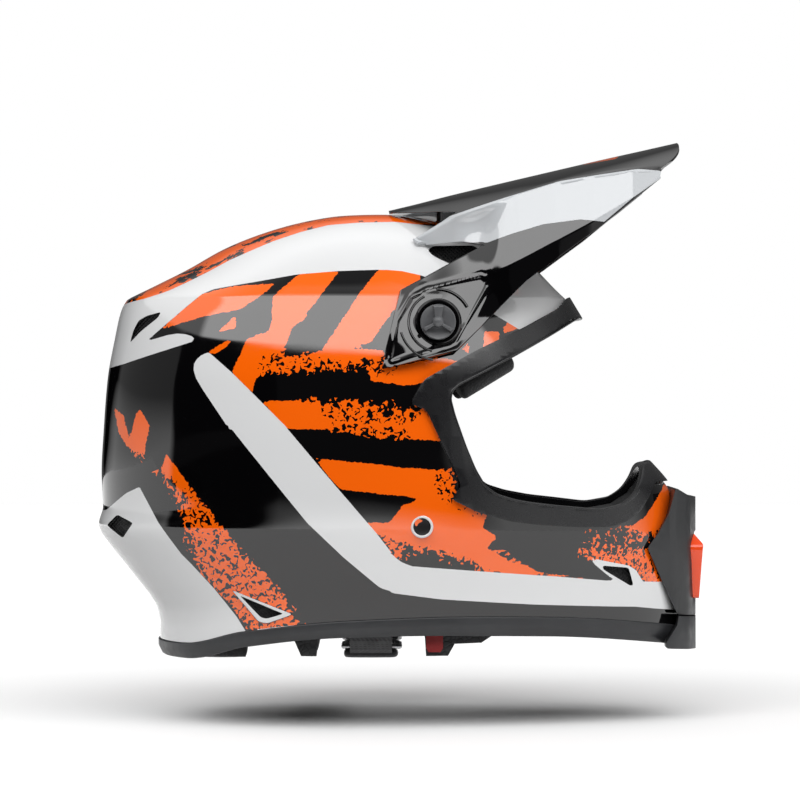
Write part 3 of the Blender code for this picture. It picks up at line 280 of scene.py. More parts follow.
UNDER_PEAK = [
    (-16, 185.5), (-7.4, 184.3), (-8.6, 173.2), (1.2, 175.7), (24.6, 180.7), (38.2, 177.6), (17.2, 165.9),
    (3.7, 164), (-15.9, 167.1),
]
BAND_2 = [
    (-79.8, 155.3), (-52.4, 155.3), (-1.4, 151.9), (-4.3, 150), (16, 150), (19.5, 144.6), (25.5, 131.5),
    (6.4, 133.3), (-4.3, 133.9), (-1.4, 134.1), (-39, 138.6), (-64.1, 138.8),
]
BAND_3 = [
    (-48.5, 121.8), (-1.4, 117.1), (-4.3, 116.7), (30.3, 114.5), (36.9, 106.4), (31.5, 99.2), (52, 88.1),
    (50.2, 80.5), (57.4, 76.2), (58, 73.8), (52, 69), (58.1, 61.7), (65.4, 54.9), (47.2, 58.8),
    (25.6, 66.3), (7.6, 70), (-4.3, 74.3), (-4.3, 82.7), (2.9, 94.6), (8.8, 95.2), (11.2, 98.4),
    (-4.3, 100.6), (-1.4, 99.8), (-34, 103.8),
]
BAND_4 = [
    (-19, 84.9), (-4.5, 83.6), (-1.4, 88.8), (6.7, 87.1), (2.2, 66.9), (-1.4, 64.1), (-12.3, 78),
]
CHIN_LOW = [
    (53.2, 69), (59.3, 64.7), (66.6, 60.4), (77.6, 57.7), (82.5, 54), (104.7, 50.8), (117.2, 48.3),
    (96, 50.7), (53.3, 54.2), (46, 58.2),
]
CHIN_TOP = [
    (129.8, 79.1), (140.2, 79.6), (149.5, 85.3), (161.1, 100.5), (165.5, 106.6), (176.3, 99.6),
    (156.3, 73.9), (140.2, 76.9),
]
CHIN_REAR_VENT = [
    (108.4, 66.8), (117.1, 67.8), (129.9, 63.8), (152.2, 65.3), (163.1, 44.8), (148.1, 46.4), (141.6, 55.9),
    (115.3, 61.2),
]
REAR_1 = [
    (-171.1, 151.2), (-164.1, 146.1), (-160.1, 131.8), (-155.7, 147.8), (-153.2, 150.1), (-147, 140.5),
    (-150.7, 122.3), (-159.5, 125.6), (-167.4, 135.7),
]
REAR_2 = [
    (-139.8, 112.8), (-136.8, 124.2), (-128.6, 113.6), (-117, 97.9), (-87.6, 62.1), (-66.9, 39.6),
    (-65.2, 35), (-58.5, 23.1), (-85.9, 20), (-100.6, 38.9), (-108.6, 45.6), (-115.4, 53.5),
    (-121.7, 79.8), (-128.7, 95.5), (-133.3, 109),
]
BROW_1 = [
    (50.9, 196.4), (60.3, 195.9), (59.6, 187.1), (50.8, 184.5),
]
BROW_2 = [
    (66.2, 207.3), (76.4, 199.9), (63.5, 195.3), (62.3, 198.4), (66.8, 202.9),
]
BROW_3 = [
    (37.7, 185.1), (42.1, 189.5), (42.3, 183),
]
BROW_4 = [
    (83.4, 233.1), (87.3, 235.4), (108.2, 212.2), (98.7, 209.9), (90.7, 221.9),
]
WHITE_BROW = [
    (58.6, 209.7), (61.9, 212.3), (78.9, 228.6), (84.1, 225.6), (98.8, 210.3), (76.3, 198.6),
]
WHITE_SWOOSH = [
    (-110.7, 183.7), (-114.8, 182.4), (-117.6, 180.1), (-119.6, 177), (-119.9, 173.6), (-118.3, 168.5),
    (-114.6, 162.4), (-98.5, 138.8), (-98.5, 140.7), (-52.5, 83.8), (-31.4, 63.5), (-10.1, 45.4),
    (-1.4, 42.7), (-4.3, 42.5), (25.7, 38.4), (80.2, 34.6), (142.9, 31.3), (175.3, 26.7), (185.1, 26),
    (164.5, 45.1), (148.1, 46.2), (143.5, 53.4), (138.9, 56.3), (115.3, 61.5), (117.2, 58), (124.8, 51.7),
    (131.2, 47.1), (96, 50.9), (53.3, 54.5), (8.8, 58.2), (2.9, 60.4), (-4.3, 65.8), (-1.4, 63.7),
    (-12.3, 78), (-34.6, 104), (-64.7, 139.7), (-64.7, 140), (-83.8, 159), (-96.9, 171.8),
]
WHITE_REAR = [
    (-194.7, 85.3), (-177, 88.9), (-162.8, 99.7), (-153.6, 104), (-141.8, 83.3), (-128, 64.7),
    (-121.7, 58.5), (-108.6, 44.4), (-95, 27.5), (-89.3, 18.5), (-99.8, 7.9), (-194.7, 1),
]
Z_UNDER = [
    (-81.7, 182.5), (-64.8, 183.5), (-44.7, 181.3), (-1.4, 180.2), (-1.4, 170.1), (-42.4, 170.1),
    (-80.5, 170.1),
]
Z_BAND_2 = [
    (-55.8, 157.5), (2.2, 156.4), (-4.3, 151.8), (18.3, 151.8), (11.2, 142.3), (5.2, 132.7), (-4.3, 132.2),
    (-1.4, 131.9), (-36.8, 137.4), (-44.6, 145.2),
]
Z_EYE = [
    (31.5, 117.2), (38.7, 106.4), (31.5, 96.9), (47.1, 87.7), (37.5, 89.6), (23.1, 94.5), (21.3, 101.7),
    (16, 104.1), (23.1, 112.4),
]
Z_LOW = [
    (-11.4, 77.9), (7.6, 71.8), (25.6, 68.1), (48.4, 60.6), (58.1, 54.4), (25.6, 58.4), (2.9, 60.4),
    (-9.1, 68.3),
]
Z_CHIN = [
    (110.8, 81.4), (140.2, 76.9), (159.1, 74.7), (152.2, 66.5), (163.1, 44.8), (148.1, 46.4), (140.2, 57.2),
    (115.3, 61.2), (102.2, 62.1), (104.6, 71.8),
]
Z_REAR = [
    (-158.8, 125.6), (-150.1, 120), (-139.8, 112.3), (-130.9, 107.9), (-117, 97.9), (-105.6, 84.5),
    (-84.2, 61), (-66.3, 40.7), (-49.5, 23.8), (-60.8, 20.8), (-88.2, 18.6), (-100.6, 38.9), (-115.4, 53.5),
    (-125.6, 64.8), (-129.9, 79.6), (-128.7, 90.9), (-141.7, 104.3),
]

ORANGE_SHAPES = [
    SWEEP, STRIPE_1, STRIPE_2, WEDGE, WEDGE_2, UNDER_PEAK, BAND_2, BAND_3, BAND_4, CHIN_LOW, CHIN_TOP,
    CHIN_REAR_VENT, REAR_1, REAR_2, BROW_1, BROW_2, BROW_3, BROW_4,
]
WHITE_SHAPES = [WHITE_CROWN, WHITE_BROW, WHITE_SWOOSH, WHITE_REAR]
SPECKLE_ZONES = [Z_UNDER, Z_BAND_2, Z_EYE, Z_LOW, Z_CHIN, Z_REAR]
SPECKLE_FADE = 5.0

# ---------------------------------------------------------------- mesh helpers
def add_mesh(name, points, faces, look=None, angle=35):
    """A new object from points in drawn millimetres, with its faces turned outwards."""
    points = (np.asarray(points, float).reshape(-1, 3) - [MIDDLE_X, 0, 0]) * MM
    mesh = bpy.data.meshes.new(name)
    mesh.from_pydata([tuple(p) for p in points.tolist()], [], faces)
    work = bmesh.new()
    work.from_mesh(mesh)
    bmesh.ops.remove_doubles(work, verts=work.verts, dist=2e-6)
    bmesh.ops.recalc_face_normals(work, faces=work.faces)
    if work.calc_volume(signed=True) < 0:
        bmesh.ops.reverse_faces(work, faces=work.faces)
    work.to_mesh(mesh)
    work.free()
    obj = bpy.data.objects.new(name, mesh)
    bpy.context.scene.collection.objects.link(obj)
    return dress(obj, look, angle)


def dress(obj, look=None, angle=35):
    if look:
        obj.data.materials.clear()
        obj.data.materials.append(look)
    if angle:
        obj.data.shade_smooth()
        obj.data.set_sharp_from_angle(angle=math.radians(angle))
    return obj


def settle(obj):
    """Applies an object's modifiers."""
    bpy.context.view_layer.update()
    graph = bpy.context.evaluated_depsgraph_get()
    mesh = bpy.data.meshes.new_from_object(obj.evaluated_get(graph))
    obj.modifiers.clear()
    obj.data = mesh
    return obj


def combine(target, tool, operation="DIFFERENCE"):
    modifier = target.modifiers.new("shape", "BOOLEAN")
    modifier.operation, modifier.object, modifier.solver = operation, tool, "EXACT"
    settle(target)
    bpy.data.objects.remove(tool)
    return target


def joined(objects):
    """One object from several that don't touch."""
    first = objects[0]
    work = bmesh.new()
    for obj in objects:
        work.from_mesh(obj.data)
    work.to_mesh(first.data)
    work.free()
    for obj in objects[1:]:
        bpy.data.objects.remove(obj)
    return first


def soften(obj, width, segments=2, angle=40):
    """Rounds the sharp edges."""
    modifier = obj.modifiers.new("edges", "BEVEL")
    modifier.width, modifier.segments, modifier.limit_method = width * MM, segments, "ANGLE"
    modifier.angle_limit, modifier.harden_normals = math.radians(angle), False
    return settle(obj)


def place(obj, body, slot, *nodes):
    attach(obj, body)
    if nodes:
        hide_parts(*nodes)
    return obj


def ring_faces(rows, columns, start=0):
    return [
        (start + i * columns + k, start + i * columns + (k + 1) % columns,
         start + (i + 1) * columns + (k + 1) % columns, start + (i + 1) * columns + k)
        for i in range(rows - 1)
        for k in range(columns)
    ]


def bowl(name, outer, inner):
    """A closed wall between two domes of rings and a pole."""
    points, faces, starts = [], [], []
    for rings, pole in (outer, inner):
        count, columns = rings.shape[:2]
        starts.append(len(points))
        faces += ring_faces(count, columns, len(points))
        points += list(rings.reshape(-1, 3)) + [pole]
        last, tip = len(points) - 1 - columns, len(points) - 1
        faces += [(last + k, last + (k + 1) % columns, tip) for k in range(columns)]
    a, b = starts
    columns = outer[0].shape[1]
    faces += [(a + k, b + k, b + (k + 1) % columns, a + (k + 1) % columns) for k in range(columns)]
    return add_mesh(name, points, faces)


def solid_dome(rings, pole):
    count, columns = rings.shape[:2]
    points = list(rings.reshape(-1, 3)) + [pole, rings[0].mean(0)]
    faces = ring_faces(count, columns)
    last, tip, foot = (count - 1) * columns, count * columns, count * columns + 1
    faces += [(last + k, last + (k + 1) % columns, tip) for k in range(columns)]
    faces += [(k, foot, (k + 1) % columns) for k in range(columns)]
    return add_mesh("dome", points, faces)


def prism(outline, low, high, axis="Y"):
    put = {
        "Y": lambda a, b, c: (a, c, b),
        "X": lambda a, b, c: (c, a, b),
        "Z": lambda a, b, c: (a, b, c),
    }[axis]
    n = len(outline)
    points = [put(a, b, c) for c in (low, high) for a, b in outline]
    faces = [tuple(range(n)), tuple(range(2 * n - 1, n - 1, -1))]
    faces += [(k, (k + 1) % n, n + (k + 1) % n, n + k) for k in range(n)]
    return add_mesh("tool", points, faces, angle=0)


def box(low, high):
    return prism(
        [(low[0], low[2]), (high[0], low[2]), (high[0], high[2]), (low[0], high[2])], low[1], high[1]
    )


def turned(name, centre, axis, profile, look, sides=64, angle=30):
    """A turned solid, from (radius, height) pairs that follow its outline."""
    turn = Vector(axis).normalized().to_track_quat("Z", "Y")
    points, rings = [], []
    for radius, height in profile:
        count = 1 if radius == 0 else sides
        rings.append(list(range(len(points), len(points) + count)))
        for k in range(count):
            a = 2 * math.pi * k / sides
            points.append(
                Vector(centre) + turn @ Vector((radius * math.cos(a), radius * math.sin(a), height))
            )
    faces = []
    for low, high in zip(rings, rings[1:]):
        for k in range(sides):
            quad = [
                low[k % len(low)], low[(k + 1) % len(low)], high[(k + 1) % len(high)], high[k % len(high)]
            ]
            face = list(dict.fromkeys(quad))
            if len(face) > 2:
                faces.append(tuple(face))
    return add_mesh(name, points, faces, look, angle)


def side_rod(at, side, radius):
    """A rod that cuts a round hole through one side."""
    profile = [(0, INSIDE), (radius, INSIDE), (radius, OUTSIDE), (0, OUTSIDE)]
    return turned("tool", (at[0], 0, at[1]), (0, side, 0), profile, None)


def tube(name, path, radius, look, sides=12, closed=False):
    """A round bead along a path."""
    path = np.array(path, float)
    ahead = np.roll(path, -1, 0) - path
    back = path - np.roll(path, 1, 0)
    if not closed:
        ahead[-1], back[0] = ahead[-2], back[1]
    along = ahead + back
    along /= np.linalg.norm(along, axis=1, keepdims=True)
    normal = np.cross(along[0], [0.31, 0.21, 0.93])
    rings = []
    for p, t in zip(path, along):
        normal = normal - np.dot(normal, t) * t
        normal /= np.linalg.norm(normal)
        side = np.cross(t, normal)
        rings.append([p + radius * (math.cos(a) * normal + math.sin(a) * side)
                      for a in np.linspace(0, 2 * math.pi, sides, endpoint=False)])
    rings = np.array(rings)
    count = len(rings)
    if closed:
        faces = [tuple(v % (count * sides) for v in f) for f in ring_faces(count + 1, sides)]
    else:
        faces = ring_faces(count, sides)
        faces += [tuple(range(sides)), tuple(range(count * sides - 1, (count - 1) * sides - 1, -1))]
    return add_mesh(name, rings, faces, look, 60)


def grown(outline, distance):
    """The outline moved outwards by distance, and inwards where it is negative."""
    points = np.array(outline, float)
    area = 0.5 * np.sum(points[:, 0] * np.roll(points[:, 1], -1) - points[:, 1] * np.roll(points[:, 0], -1))
    edge = np.roll(points, -1, 0) - points
    edge /= np.linalg.norm(edge, axis=1, keepdims=True)
    out = np.column_stack([edge[:, 1], -edge[:, 0]]) * math.copysign(1, area)
    middle = out + np.roll(out, 1, 0)
    middle /= np.linalg.norm(middle, axis=1, keepdims=True)
    reach = distance / np.clip(np.sum(middle * out, axis=1), 0.5, 1)
    return [tuple(p) for p in points + middle * reach[:, None]]


def rounded(outline, radius):
    """The outline with its corners cut back in a curve."""
    points = np.array(outline, float)
    result = []
    for before, here, after in zip(np.roll(points, 1, 0), points, np.roll(points, -1, 0)):
        a, b = before - here, after - here
        la, lb = np.linalg.norm(a), np.linalg.norm(b)
        start, end = here + a / la * min(radius, 0.45 * la), here + b / lb * min(radius, 0.45 * lb)
        for t in np.linspace(0, 1, CORNER_POINTS):
            result.append((1 - t) ** 2 * start + 2 * t * (1 - t) * here + t * t * end)
    return [tuple(p) for p in result]


def away_from(x, z, line):
    """How far each place is from a drawn line."""
    best = np.full(np.shape(x), 1e9)
    for (ax, az), (bx, bz) in zip(line, line[1:]):
        ex, ez = bx - ax, bz - az
        t = np.clip(((x - ax) * ex + (z - az) * ez) / (ex * ex + ez * ez + 1e-12), 0, 1)
        best = np.minimum(best, (x - ax - t * ex) ** 2 + (z - az - t * ez) ** 2)
    return np.sqrt(best)


def signed(x, z, outline):
    """How far inside an outline each place is, and less than 0 outside it."""
    poly = np.array(outline, float)
    inside = np.zeros(np.shape(x), bool)
    for (ax, az), (bx, bz) in zip(poly, np.roll(poly, -1, 0)):
        ex, ez = bx - ax, bz - az
        if ez:
            inside ^= ((az > z) != (bz > z)) & (x < ax + (z - az) * ex / ez)
    return np.where(inside, 1, -1) * away_from(x, z, np.concatenate([poly, poly[:1]]))


def drawn(obj):
    """The vertices in drawn millimetres."""
    co = np.empty(len(obj.data.vertices) * 3)
    obj.data.vertices.foreach_get("co", co)
    return co.reshape(-1, 3) / MM + [MIDDLE_X, 0, 0]


def attribute(obj, name, values):
    layer = obj.data.attributes.new(name, "FLOAT", "POINT")
    layer.data.foreach_set("value", np.asarray(values, np.float32))


def smoothstep(value, low, high):
    t = np.clip((value - low) / (high - low), 0, 1)
    return t * t * (3 - 2 * t)


# ---------------------------------------------------------------- the shell's surface
LEVELS = np.concatenate([np.linspace(EDGE_Z, 205, 92), np.linspace(206.5, 216, 7), [216.6, 217.0]])
CROWN_LEVELS = [level_z(r) for r in np.linspace(1.015, 1.975, 34)]


def shell_rows(columns, levels):
    rows = []
    for z in levels:
        flat = shell_level(z, columns)
        rows.append(np.column_stack([flat, lifted(flat[:, 0], np.full(columns, float(z)))]))
    return np.array(rows)


POLE = np.array([BACK[-1][1], 0, CROWN_Z])
COLUMNS = 360
ROWS = shell_rows(COLUMNS, list(LEVELS) + CROWN_LEVELS)
NORMALS = row_normals(ROWS, POLE)


def offset(distance, rows=slice(None), columns=slice(None)):
    part = ROWS[rows, columns] + distance * NORMALS[rows, columns]
    return part, POLE + [0, 0, distance]


def wall(outside, inside, rows=slice(None), columns=slice(None)):
    return bowl("wall", offset(outside, rows, columns), offset(inside, rows, columns))


def front_x(y, z):
    """The shell's front at a place in the front view."""
    front, half, widest, power = (by_rank(t, z) for t in (FRONT, HALF_WIDTH, WIDEST_X, FRONT_POWER))
    return widest + (front - widest) * np.clip(1 - np.abs(y / half) ** power, 0, 1) ** (1 / power)


# ---------------------------------------------------------------- materials
class Look:
    """A node material in the making."""

    def __init__(self, name, colour, roughness, metallic=0.0, **sockets):
        self.material = bpy.data.materials.new(name)
        self.material.use_nodes = True
        self.tree = self.material.node_tree
        self.shader = self.tree.nodes["Principled BSDF"]
        values = {"Base Color": (*colour, 1), "Roughness": roughness, "Metallic": metallic}
        values.update({k.replace("_", " "): v for k, v in sockets.items()})
        for key, value in values.items():
            self.shader.inputs[key].default_value = value
        self.material.diffuse_color = (*colour, 1)
        self.places = self.node("ShaderNodeTexCoord").outputs["Object"]

    def node(self, kind, inputs=None, **settings):
        made = self.tree.nodes.new(kind)
        for key, value in settings.items():
            setattr(made, key, value)
        for key, value in (inputs or {}).items():
            if isinstance(value, bpy.types.NodeSocket):
                self.tree.links.new(value, made.inputs[key])
            else:
                made.inputs[key].default_value = value
        return made

    def math(self, operation, a, b=0.0):
        return self.node("ShaderNodeMath", {0: a, 1: b}, operation=operation).outputs[0]

    def noise(self, scale, detail=2.0, roughness=0.5, distortion=0.0, at=None):
        made = self.node("ShaderNodeTexNoise", {"Vector": at or self.places, "Scale": scale,
                                                "Detail": detail,
                                                "Roughness": roughness, "Distortion": distortion})
        return made.outputs["Fac"]

    def cells(self, scale, feature="F1", output="Distance"):
        return self.node("ShaderNodeTexVoronoi", {"Vector": self.places, "Scale": scale},
                         feature=feature).outputs[output]

    def waves(self, scale, direction="X", distortion=0.0):
        return self.node("ShaderNodeTexWave",
                         {"Vector": self.places, "Scale": scale, "Distortion": distortion},
                         bands_direction=direction).outputs["Fac"]

    def span(self, value, low, high, to_low=0.0, to_high=1.0):
        return self.node("ShaderNodeMapRange", {"Value": value, "From Min": low, "From Max": high,
                                                "To Min": to_low, "To Max": to_high}).outputs[0]

    def read(self, name):
        return self.node("ShaderNodeAttribute", attribute_name=name).outputs["Fac"]

    def mix(self, share, a, b):
        made = self.node("ShaderNodeMix", data_type="RGBA")
        for index, value in ((0, share), (6, a), (7, b)):
            if isinstance(value, bpy.types.NodeSocket):
                self.tree.links.new(value, made.inputs[index])
            else:
                made.inputs[index].default_value = value if index == 0 else (*value, 1)
        return made.outputs[2]

    def link(self, value, socket):
        self.tree.links.new(value, self.shader.inputs[socket])
        return self

    def bump(self, height, strength, distance):
        made = self.node(
            "ShaderNodeBump", {"Height": height, "Strength": strength, "Distance": distance * MM}
        )
        return self.link(made.outputs[0], "Normal")


ORANGE, WHITE, BLACK = (1.0, 0.135, 0.002), (0.74, 0.745, 0.75), (0.0024, 0.0022, 0.0027)


def gloss_finish(look):
    """The slight waviness and dust that a lacquered surface has."""
    look.link(look.span(look.noise(60, 3.0), 0.35, 0.7, 0.045, 0.075), "Roughness")
    return look.bump(look.noise(420, 1.0), 0.02, 0.1)


def shell_paint():
    look = Look("shell_paint", ORANGE, 0.06, IOR=1.75)
    grain = look.math("MULTIPLY", look.math("SUBTRACT", look.noise(360, 0.6, 0.5, 1.0), 0.5), 7.0)
    orange = look.math("ADD", look.read("orange"), look.math("MULTIPLY", grain, look.read("rough")))
    colour = look.mix(look.span(orange, -0.1, 0.1), BLACK, ORANGE)
    patches = look.math("ADD", look.math("SUBTRACT", look.noise(46, 4.0, 0.62, 0.4), 0.54),
                        look.math("MULTIPLY", grain, 0.02))
    strip = look.mix(look.span(patches, -0.004, 0.004), ORANGE, BLACK)
    in_strip = look.span(look.read("strip"), -0.1, 0.1)
    white = look.math(
        "MULTIPLY", look.span(look.read("white"), -0.1, 0.1), look.math("SUBTRACT", 1.0, in_strip)
    )
    colour = look.mix(in_strip, colour, strip)
    look.link(look.mix(white, colour, WHITE), "Base Color")
    return gloss_finish(look).material


def peak_paint():
    look = Look("peak_paint", BLACK, 0.06, IOR=1.75)
    colour = look.mix(look.span(look.read("orange"), -0.1, 0.1), BLACK, ORANGE)
    # The peak's white is a darker copy of the shell's WHITE: painted shade, set against the bright light on
    # the peak's upturned top.
    white = (0.55, 0.57, 0.59)
    look.link(look.mix(look.span(look.read("white"), -0.1, 0.1), colour, white), "Base Color")
    return gloss_finish(look).material


def gloss(name, colour):
    look = Look(name, colour, 0.08, IOR=1.6)
    return gloss_finish(look).material


def matte(name, colour, roughness=0.42, uneven=1.0):
    """Moulded plastic or rubber with a fine grain."""
    look = Look(name, colour, roughness)
    dull = tuple(c * 0.72 for c in colour)
    look.link(look.mix(look.span(look.noise(35, 4.0), 0.3, 0.75), colour, dull), "Base Color")
    low, high = roughness - 0.06 * uneven, roughness + 0.1 * uneven
    look.link(look.span(look.noise(180, 3.0), 0.3, 0.7, low, high), "Roughness")
    return look.bump(look.noise(2600, 2.0), 0.12 * uneven, 0.08).material


def wire():
    look = Look("vent_wire", (0.012, 0.012, 0.013), 0.38, 0.4)
    look.link(look.span(look.noise(900, 2.0), 0.3, 0.7, 0.3, 0.5), "Roughness")
    return look.bump(look.noise(3000, 1.0), 0.2, 0.05).material


def bead_foam():
    """Moulded beads, pressed flat against each other."""
    look = Look("bead_foam", (0.04, 0.041, 0.043), 0.75)
    edge = look.cells(300, "DISTANCE_TO_EDGE")
    shade = look.mix(look.span(edge, 0.0, 0.12), (0.018, 0.018, 0.019), (0.05, 0.051, 0.054))
    tone = look.mix(look.span(look.noise(25, 3.0), 0.35, 0.65), (0.03, 0.03, 0.032), (0.06, 0.061, 0.064))
    mixed = look.node("ShaderNodeMix", data_type="RGBA", blend_type="MULTIPLY")
    mixed.inputs[0].default_value = 0.5
    look.tree.links.new(shade, mixed.inputs[6])
    look.tree.links.new(tone, mixed.inputs[7])
    look.link(mixed.outputs[2], "Base Color")
    return look.bump(look.span(edge, 0.0, 0.16), 0.6, 0.35).material


def knit(name, dark, light, scale=900):
    """Open sports knit: rows of small holes, with a brushed face."""
    look = Look(name, light, 0.85, Sheen_Weight=0.35, Sheen_Roughness=0.5)
    holes = look.span(look.cells(scale), 0.25, 0.55)
    crossing = look.math("MULTIPLY", look.waves(scale * 0.17, "X"), look.waves(scale * 0.17, "Z"))
    height = look.math("ADD", look.math("MULTIPLY", holes, 0.7), look.math("MULTIPLY", crossing, 0.3))
    worn = look.mix(look.span(look.noise(30, 4.0), 0.35, 0.7), dark, light)
    look.link(look.mix(holes, worn, dark), "Base Color")
    return look.bump(height, 0.7, 0.25).material


def tape(name, dark, light):
    """Woven webbing, with its ribs across and a twill along."""
    look = Look(name, light, 0.62, Sheen_Weight=0.2)
    ribs = look.math("MAXIMUM", look.waves(240, "DIAGONAL"), look.waves(330, "Y"))
    look.link(look.mix(look.span(ribs, 0.2, 0.9), dark, light), "Base Color")
    look.link(look.span(look.noise(200, 2.0), 0.3, 0.7, 0.5, 0.75), "Roughness")
    return look.bump(ribs, 0.6, 0.25).material


def metal():
    look = Look("zinc_steel", (0.62, 0.62, 0.64), 0.28, 1.0)
    stretched = look.node(
        "ShaderNodeMapping", {"Vector": look.places, "Scale": (1.0, 12.0, 1.0)}
    ).outputs[0]
    look.link(look.span(look.noise(500, 3.0, at=stretched), 0.3, 0.7, 0.2, 0.42), "Roughness")
    look.link(look.mix(look.noise(40, 3.0), (0.5, 0.5, 0.52), (0.7, 0.7, 0.71)), "Base Color")
    return look.bump(look.noise(1200, 2.0, at=stretched), 0.08, 0.05).material


TRIM = matte("trim_rubber", (0.030, 0.031, 0.034), 0.4)
DARK_TRIM = matte("eyeport_rubber", (0.010, 0.010, 0.0115), 0.27, 0.25)
PLASTIC = matte("moulded_plastic", (0.027, 0.028, 0.030), 0.38)
KNOB_PLASTIC = matte("knob_plastic", (0.11, 0.112, 0.118), 0.36)
GLOSS_BLACK = gloss("gloss_black", BLACK)
GLOSS_WHITE = gloss("gloss_white", WHITE)
BEAK_PLASTIC = gloss("beak_plastic", (0.9, 0.075, 0.012))
WIRE, FOAM, STEEL = wire(), bead_foam(), metal()
KNIT = knit("sports_knit", (0.006, 0.006, 0.007), (0.026, 0.026, 0.028))
SOFT_KNIT = knit("brushed_knit", (0.010, 0.010, 0.011), (0.032, 0.032, 0.034), 1300)
TAPE = tape("strap_webbing", (0.006, 0.006, 0.007), (0.028, 0.028, 0.03))
# The release tabs' red webbing is darkened to a deep red: painted shade, for the shadow the tabs sit in.
SHADED_RED_TAPE = tape("tab_webbing_painted_shade", (0.10, 0.001, 0.002), (0.22, 0.003, 0.004))


# ---------------------------------------------------------------- light, floor and camera
def camera():
    data = bpy.data.cameras.new("camera")
    data.lens, data.sensor_width, data.clip_end = 145.16, 36.0, 50.0
    obj = bpy.data.objects.new("camera", data)
    obj.location, obj.rotation_euler = (0.00005, -2.0, 0.1557), (math.pi / 2, 0, 0)
    bpy.context.scene.collection.objects.link(obj)
    bpy.context.scene.camera = obj


# The studio: the softbox's lower and upper edge as the z of a direction, and the strengths of its parts
SOFTBOX_LOW, SOFTBOX_TOP, SOFTBOX, DARK, FAR_SIDE = 0.45, 0.92, 3.5, 0.02, 0.1
FLOOR_Z, FLOOR_HALF, FLOOR_SPLIT = -0.04, 4.0, -0.42  # in metres


def studio():
    """A white room that is dark at the height of the camera, with a wide softbox above it."""
    world = bpy.data.worlds.new("studio")
    bpy.context.scene.world = world
    world.use_nodes = True
    tree = world.node_tree
    background = tree.nodes["Background"]

    def node(kind, *values, **settings):
        made = tree.nodes.new(kind)
        for key, value in settings.items():
            setattr(made, key, value)
        for index, value in enumerate(values):
            if isinstance(value, bpy.types.NodeSocket):
                tree.links.new(value, made.inputs[index])
            else:
                made.inputs[index].default_value = value
        return made.outputs[0]

    def calculate(operation, a, b):
        return node("ShaderNodeMath", a, b, operation=operation)

    def edge(value, at, soft):
        return node("ShaderNodeMapRange", value, at - soft, at + soft, 0.0, 1.0)

    def under(value, at, soft):
        return calculate("SUBTRACT", 1.0, edge(value, at, soft))

    def times(first, *others):
        for other in others:
            first = calculate("MULTIPLY", first, other)
        return first

    def less(value, share, part):
        return calculate("SUBTRACT", value, times(share, part))

    ways = tree.nodes.new("ShaderNodeSeparateXYZ")
    tree.links.new(tree.nodes.new("ShaderNodeTexCoord").outputs["Generated"], ways.inputs[0])
    x, y, z = ways.outputs
    level = calculate("POWER", calculate("SUBTRACT", 1.0, times(z, z)), 0.5)
    toward = calculate("DIVIDE", times(y, -1.0), level)
    ahead = edge(toward, 0.34, 0.03)
    softbox = times(edge(toward, 0.5, 0.03), edge(z, SOFTBOX_LOW, 0.012), under(z, SOFTBOX_TOP, 0.07))
    below = under(z, SOFTBOX_LOW, 0.012)
    low_front = times(edge(x, 0.5, 0.08), under(z, 0.1, 0.05))
    dark = times(ahead, below, edge(z, -0.3, 0.05), calculate("SUBTRACT", 1.0, low_front))
    value = less(1.0, dark, 1.0 - DARK)
    value = calculate("ADD", value, times(softbox, SOFTBOX - 1.0))
    value = less(
        value, times(under(toward, -0.15, 0.15), under(z, 0.6, 0.2), edge(x, -0.6, 0.15)), 1.0 - FAR_SIDE
    )
    value = calculate("ADD", value, times(ahead, under(z, -0.35, 0.05)))
    value = less(value, edge(z, SOFTBOX_TOP, 0.07), 0.85)
    rear = under(x, -0.4, 0.1)
    value = less(value, times(rear, under(z, -0.2, 0.1)), 0.8)
    value = less(value, times(rear, edge(z, 0.02, 0.06), below), 0.8)
    seen = tree.nodes.new("ShaderNodeLightPath").outputs["Is Camera Ray"]
    value = calculate("MAXIMUM", value, times(seen, 1.0))
    tree.links.new(value, background.inputs["Color"])
    background.inputs["Strength"].default_value = 1.0
    for name, near, far in (("floor", FLOOR_SPLIT, FLOOR_HALF), ("floor_front", -FLOOR_HALF, FLOOR_SPLIT)):
        mesh = bpy.data.meshes.new(name)
        corners = ((-FLOOR_HALF, near), (FLOOR_HALF, near), (FLOOR_HALF, far), (-FLOOR_HALF, far))
        mesh.from_pydata([(x, y, FLOOR_Z) for x, y in corners], [], [(0, 1, 2, 3)])
        floor = bpy.data.objects.new(name, mesh)
        floor.data.materials.append(matte_floor())
        bpy.context.scene.collection.objects.link(floor)
        floor.visible_glossy = name == "floor"
        floor.visible_diffuse = False
    bpy.context.scene.view_settings.view_transform = "Standard"


def matte_floor():
    found = bpy.data.materials.get("pale_floor")
    if found:
        return found
    look = Look("pale_floor", (0.93, 0.93, 0.93), 0.9, Specular_IOR_Level=0.0)
    look.link(look.mix(look.noise(3, 2.0), (0.92, 0.92, 0.92), (0.94, 0.94, 0.94)), "Base Color")
    return look.material


# ---------------------------------------------------------------- the painted shell
SCRIBBLES = [
    [(52.4, 67.7), (63.5, 67.1), (67.5, 62.9), (73, 59.2), (71.2, 53.3), (72.4, 49.7), (80.8, 44.9)],
    [(80.8, 44.9), (85.6, 42), (92.2, 43.7)],
]
SCRIBBLE_HALF = 0.7


def paint_shapes(x, z, shapes):
    return np.max([signed(x, z, s) for s in shapes], axis=0)


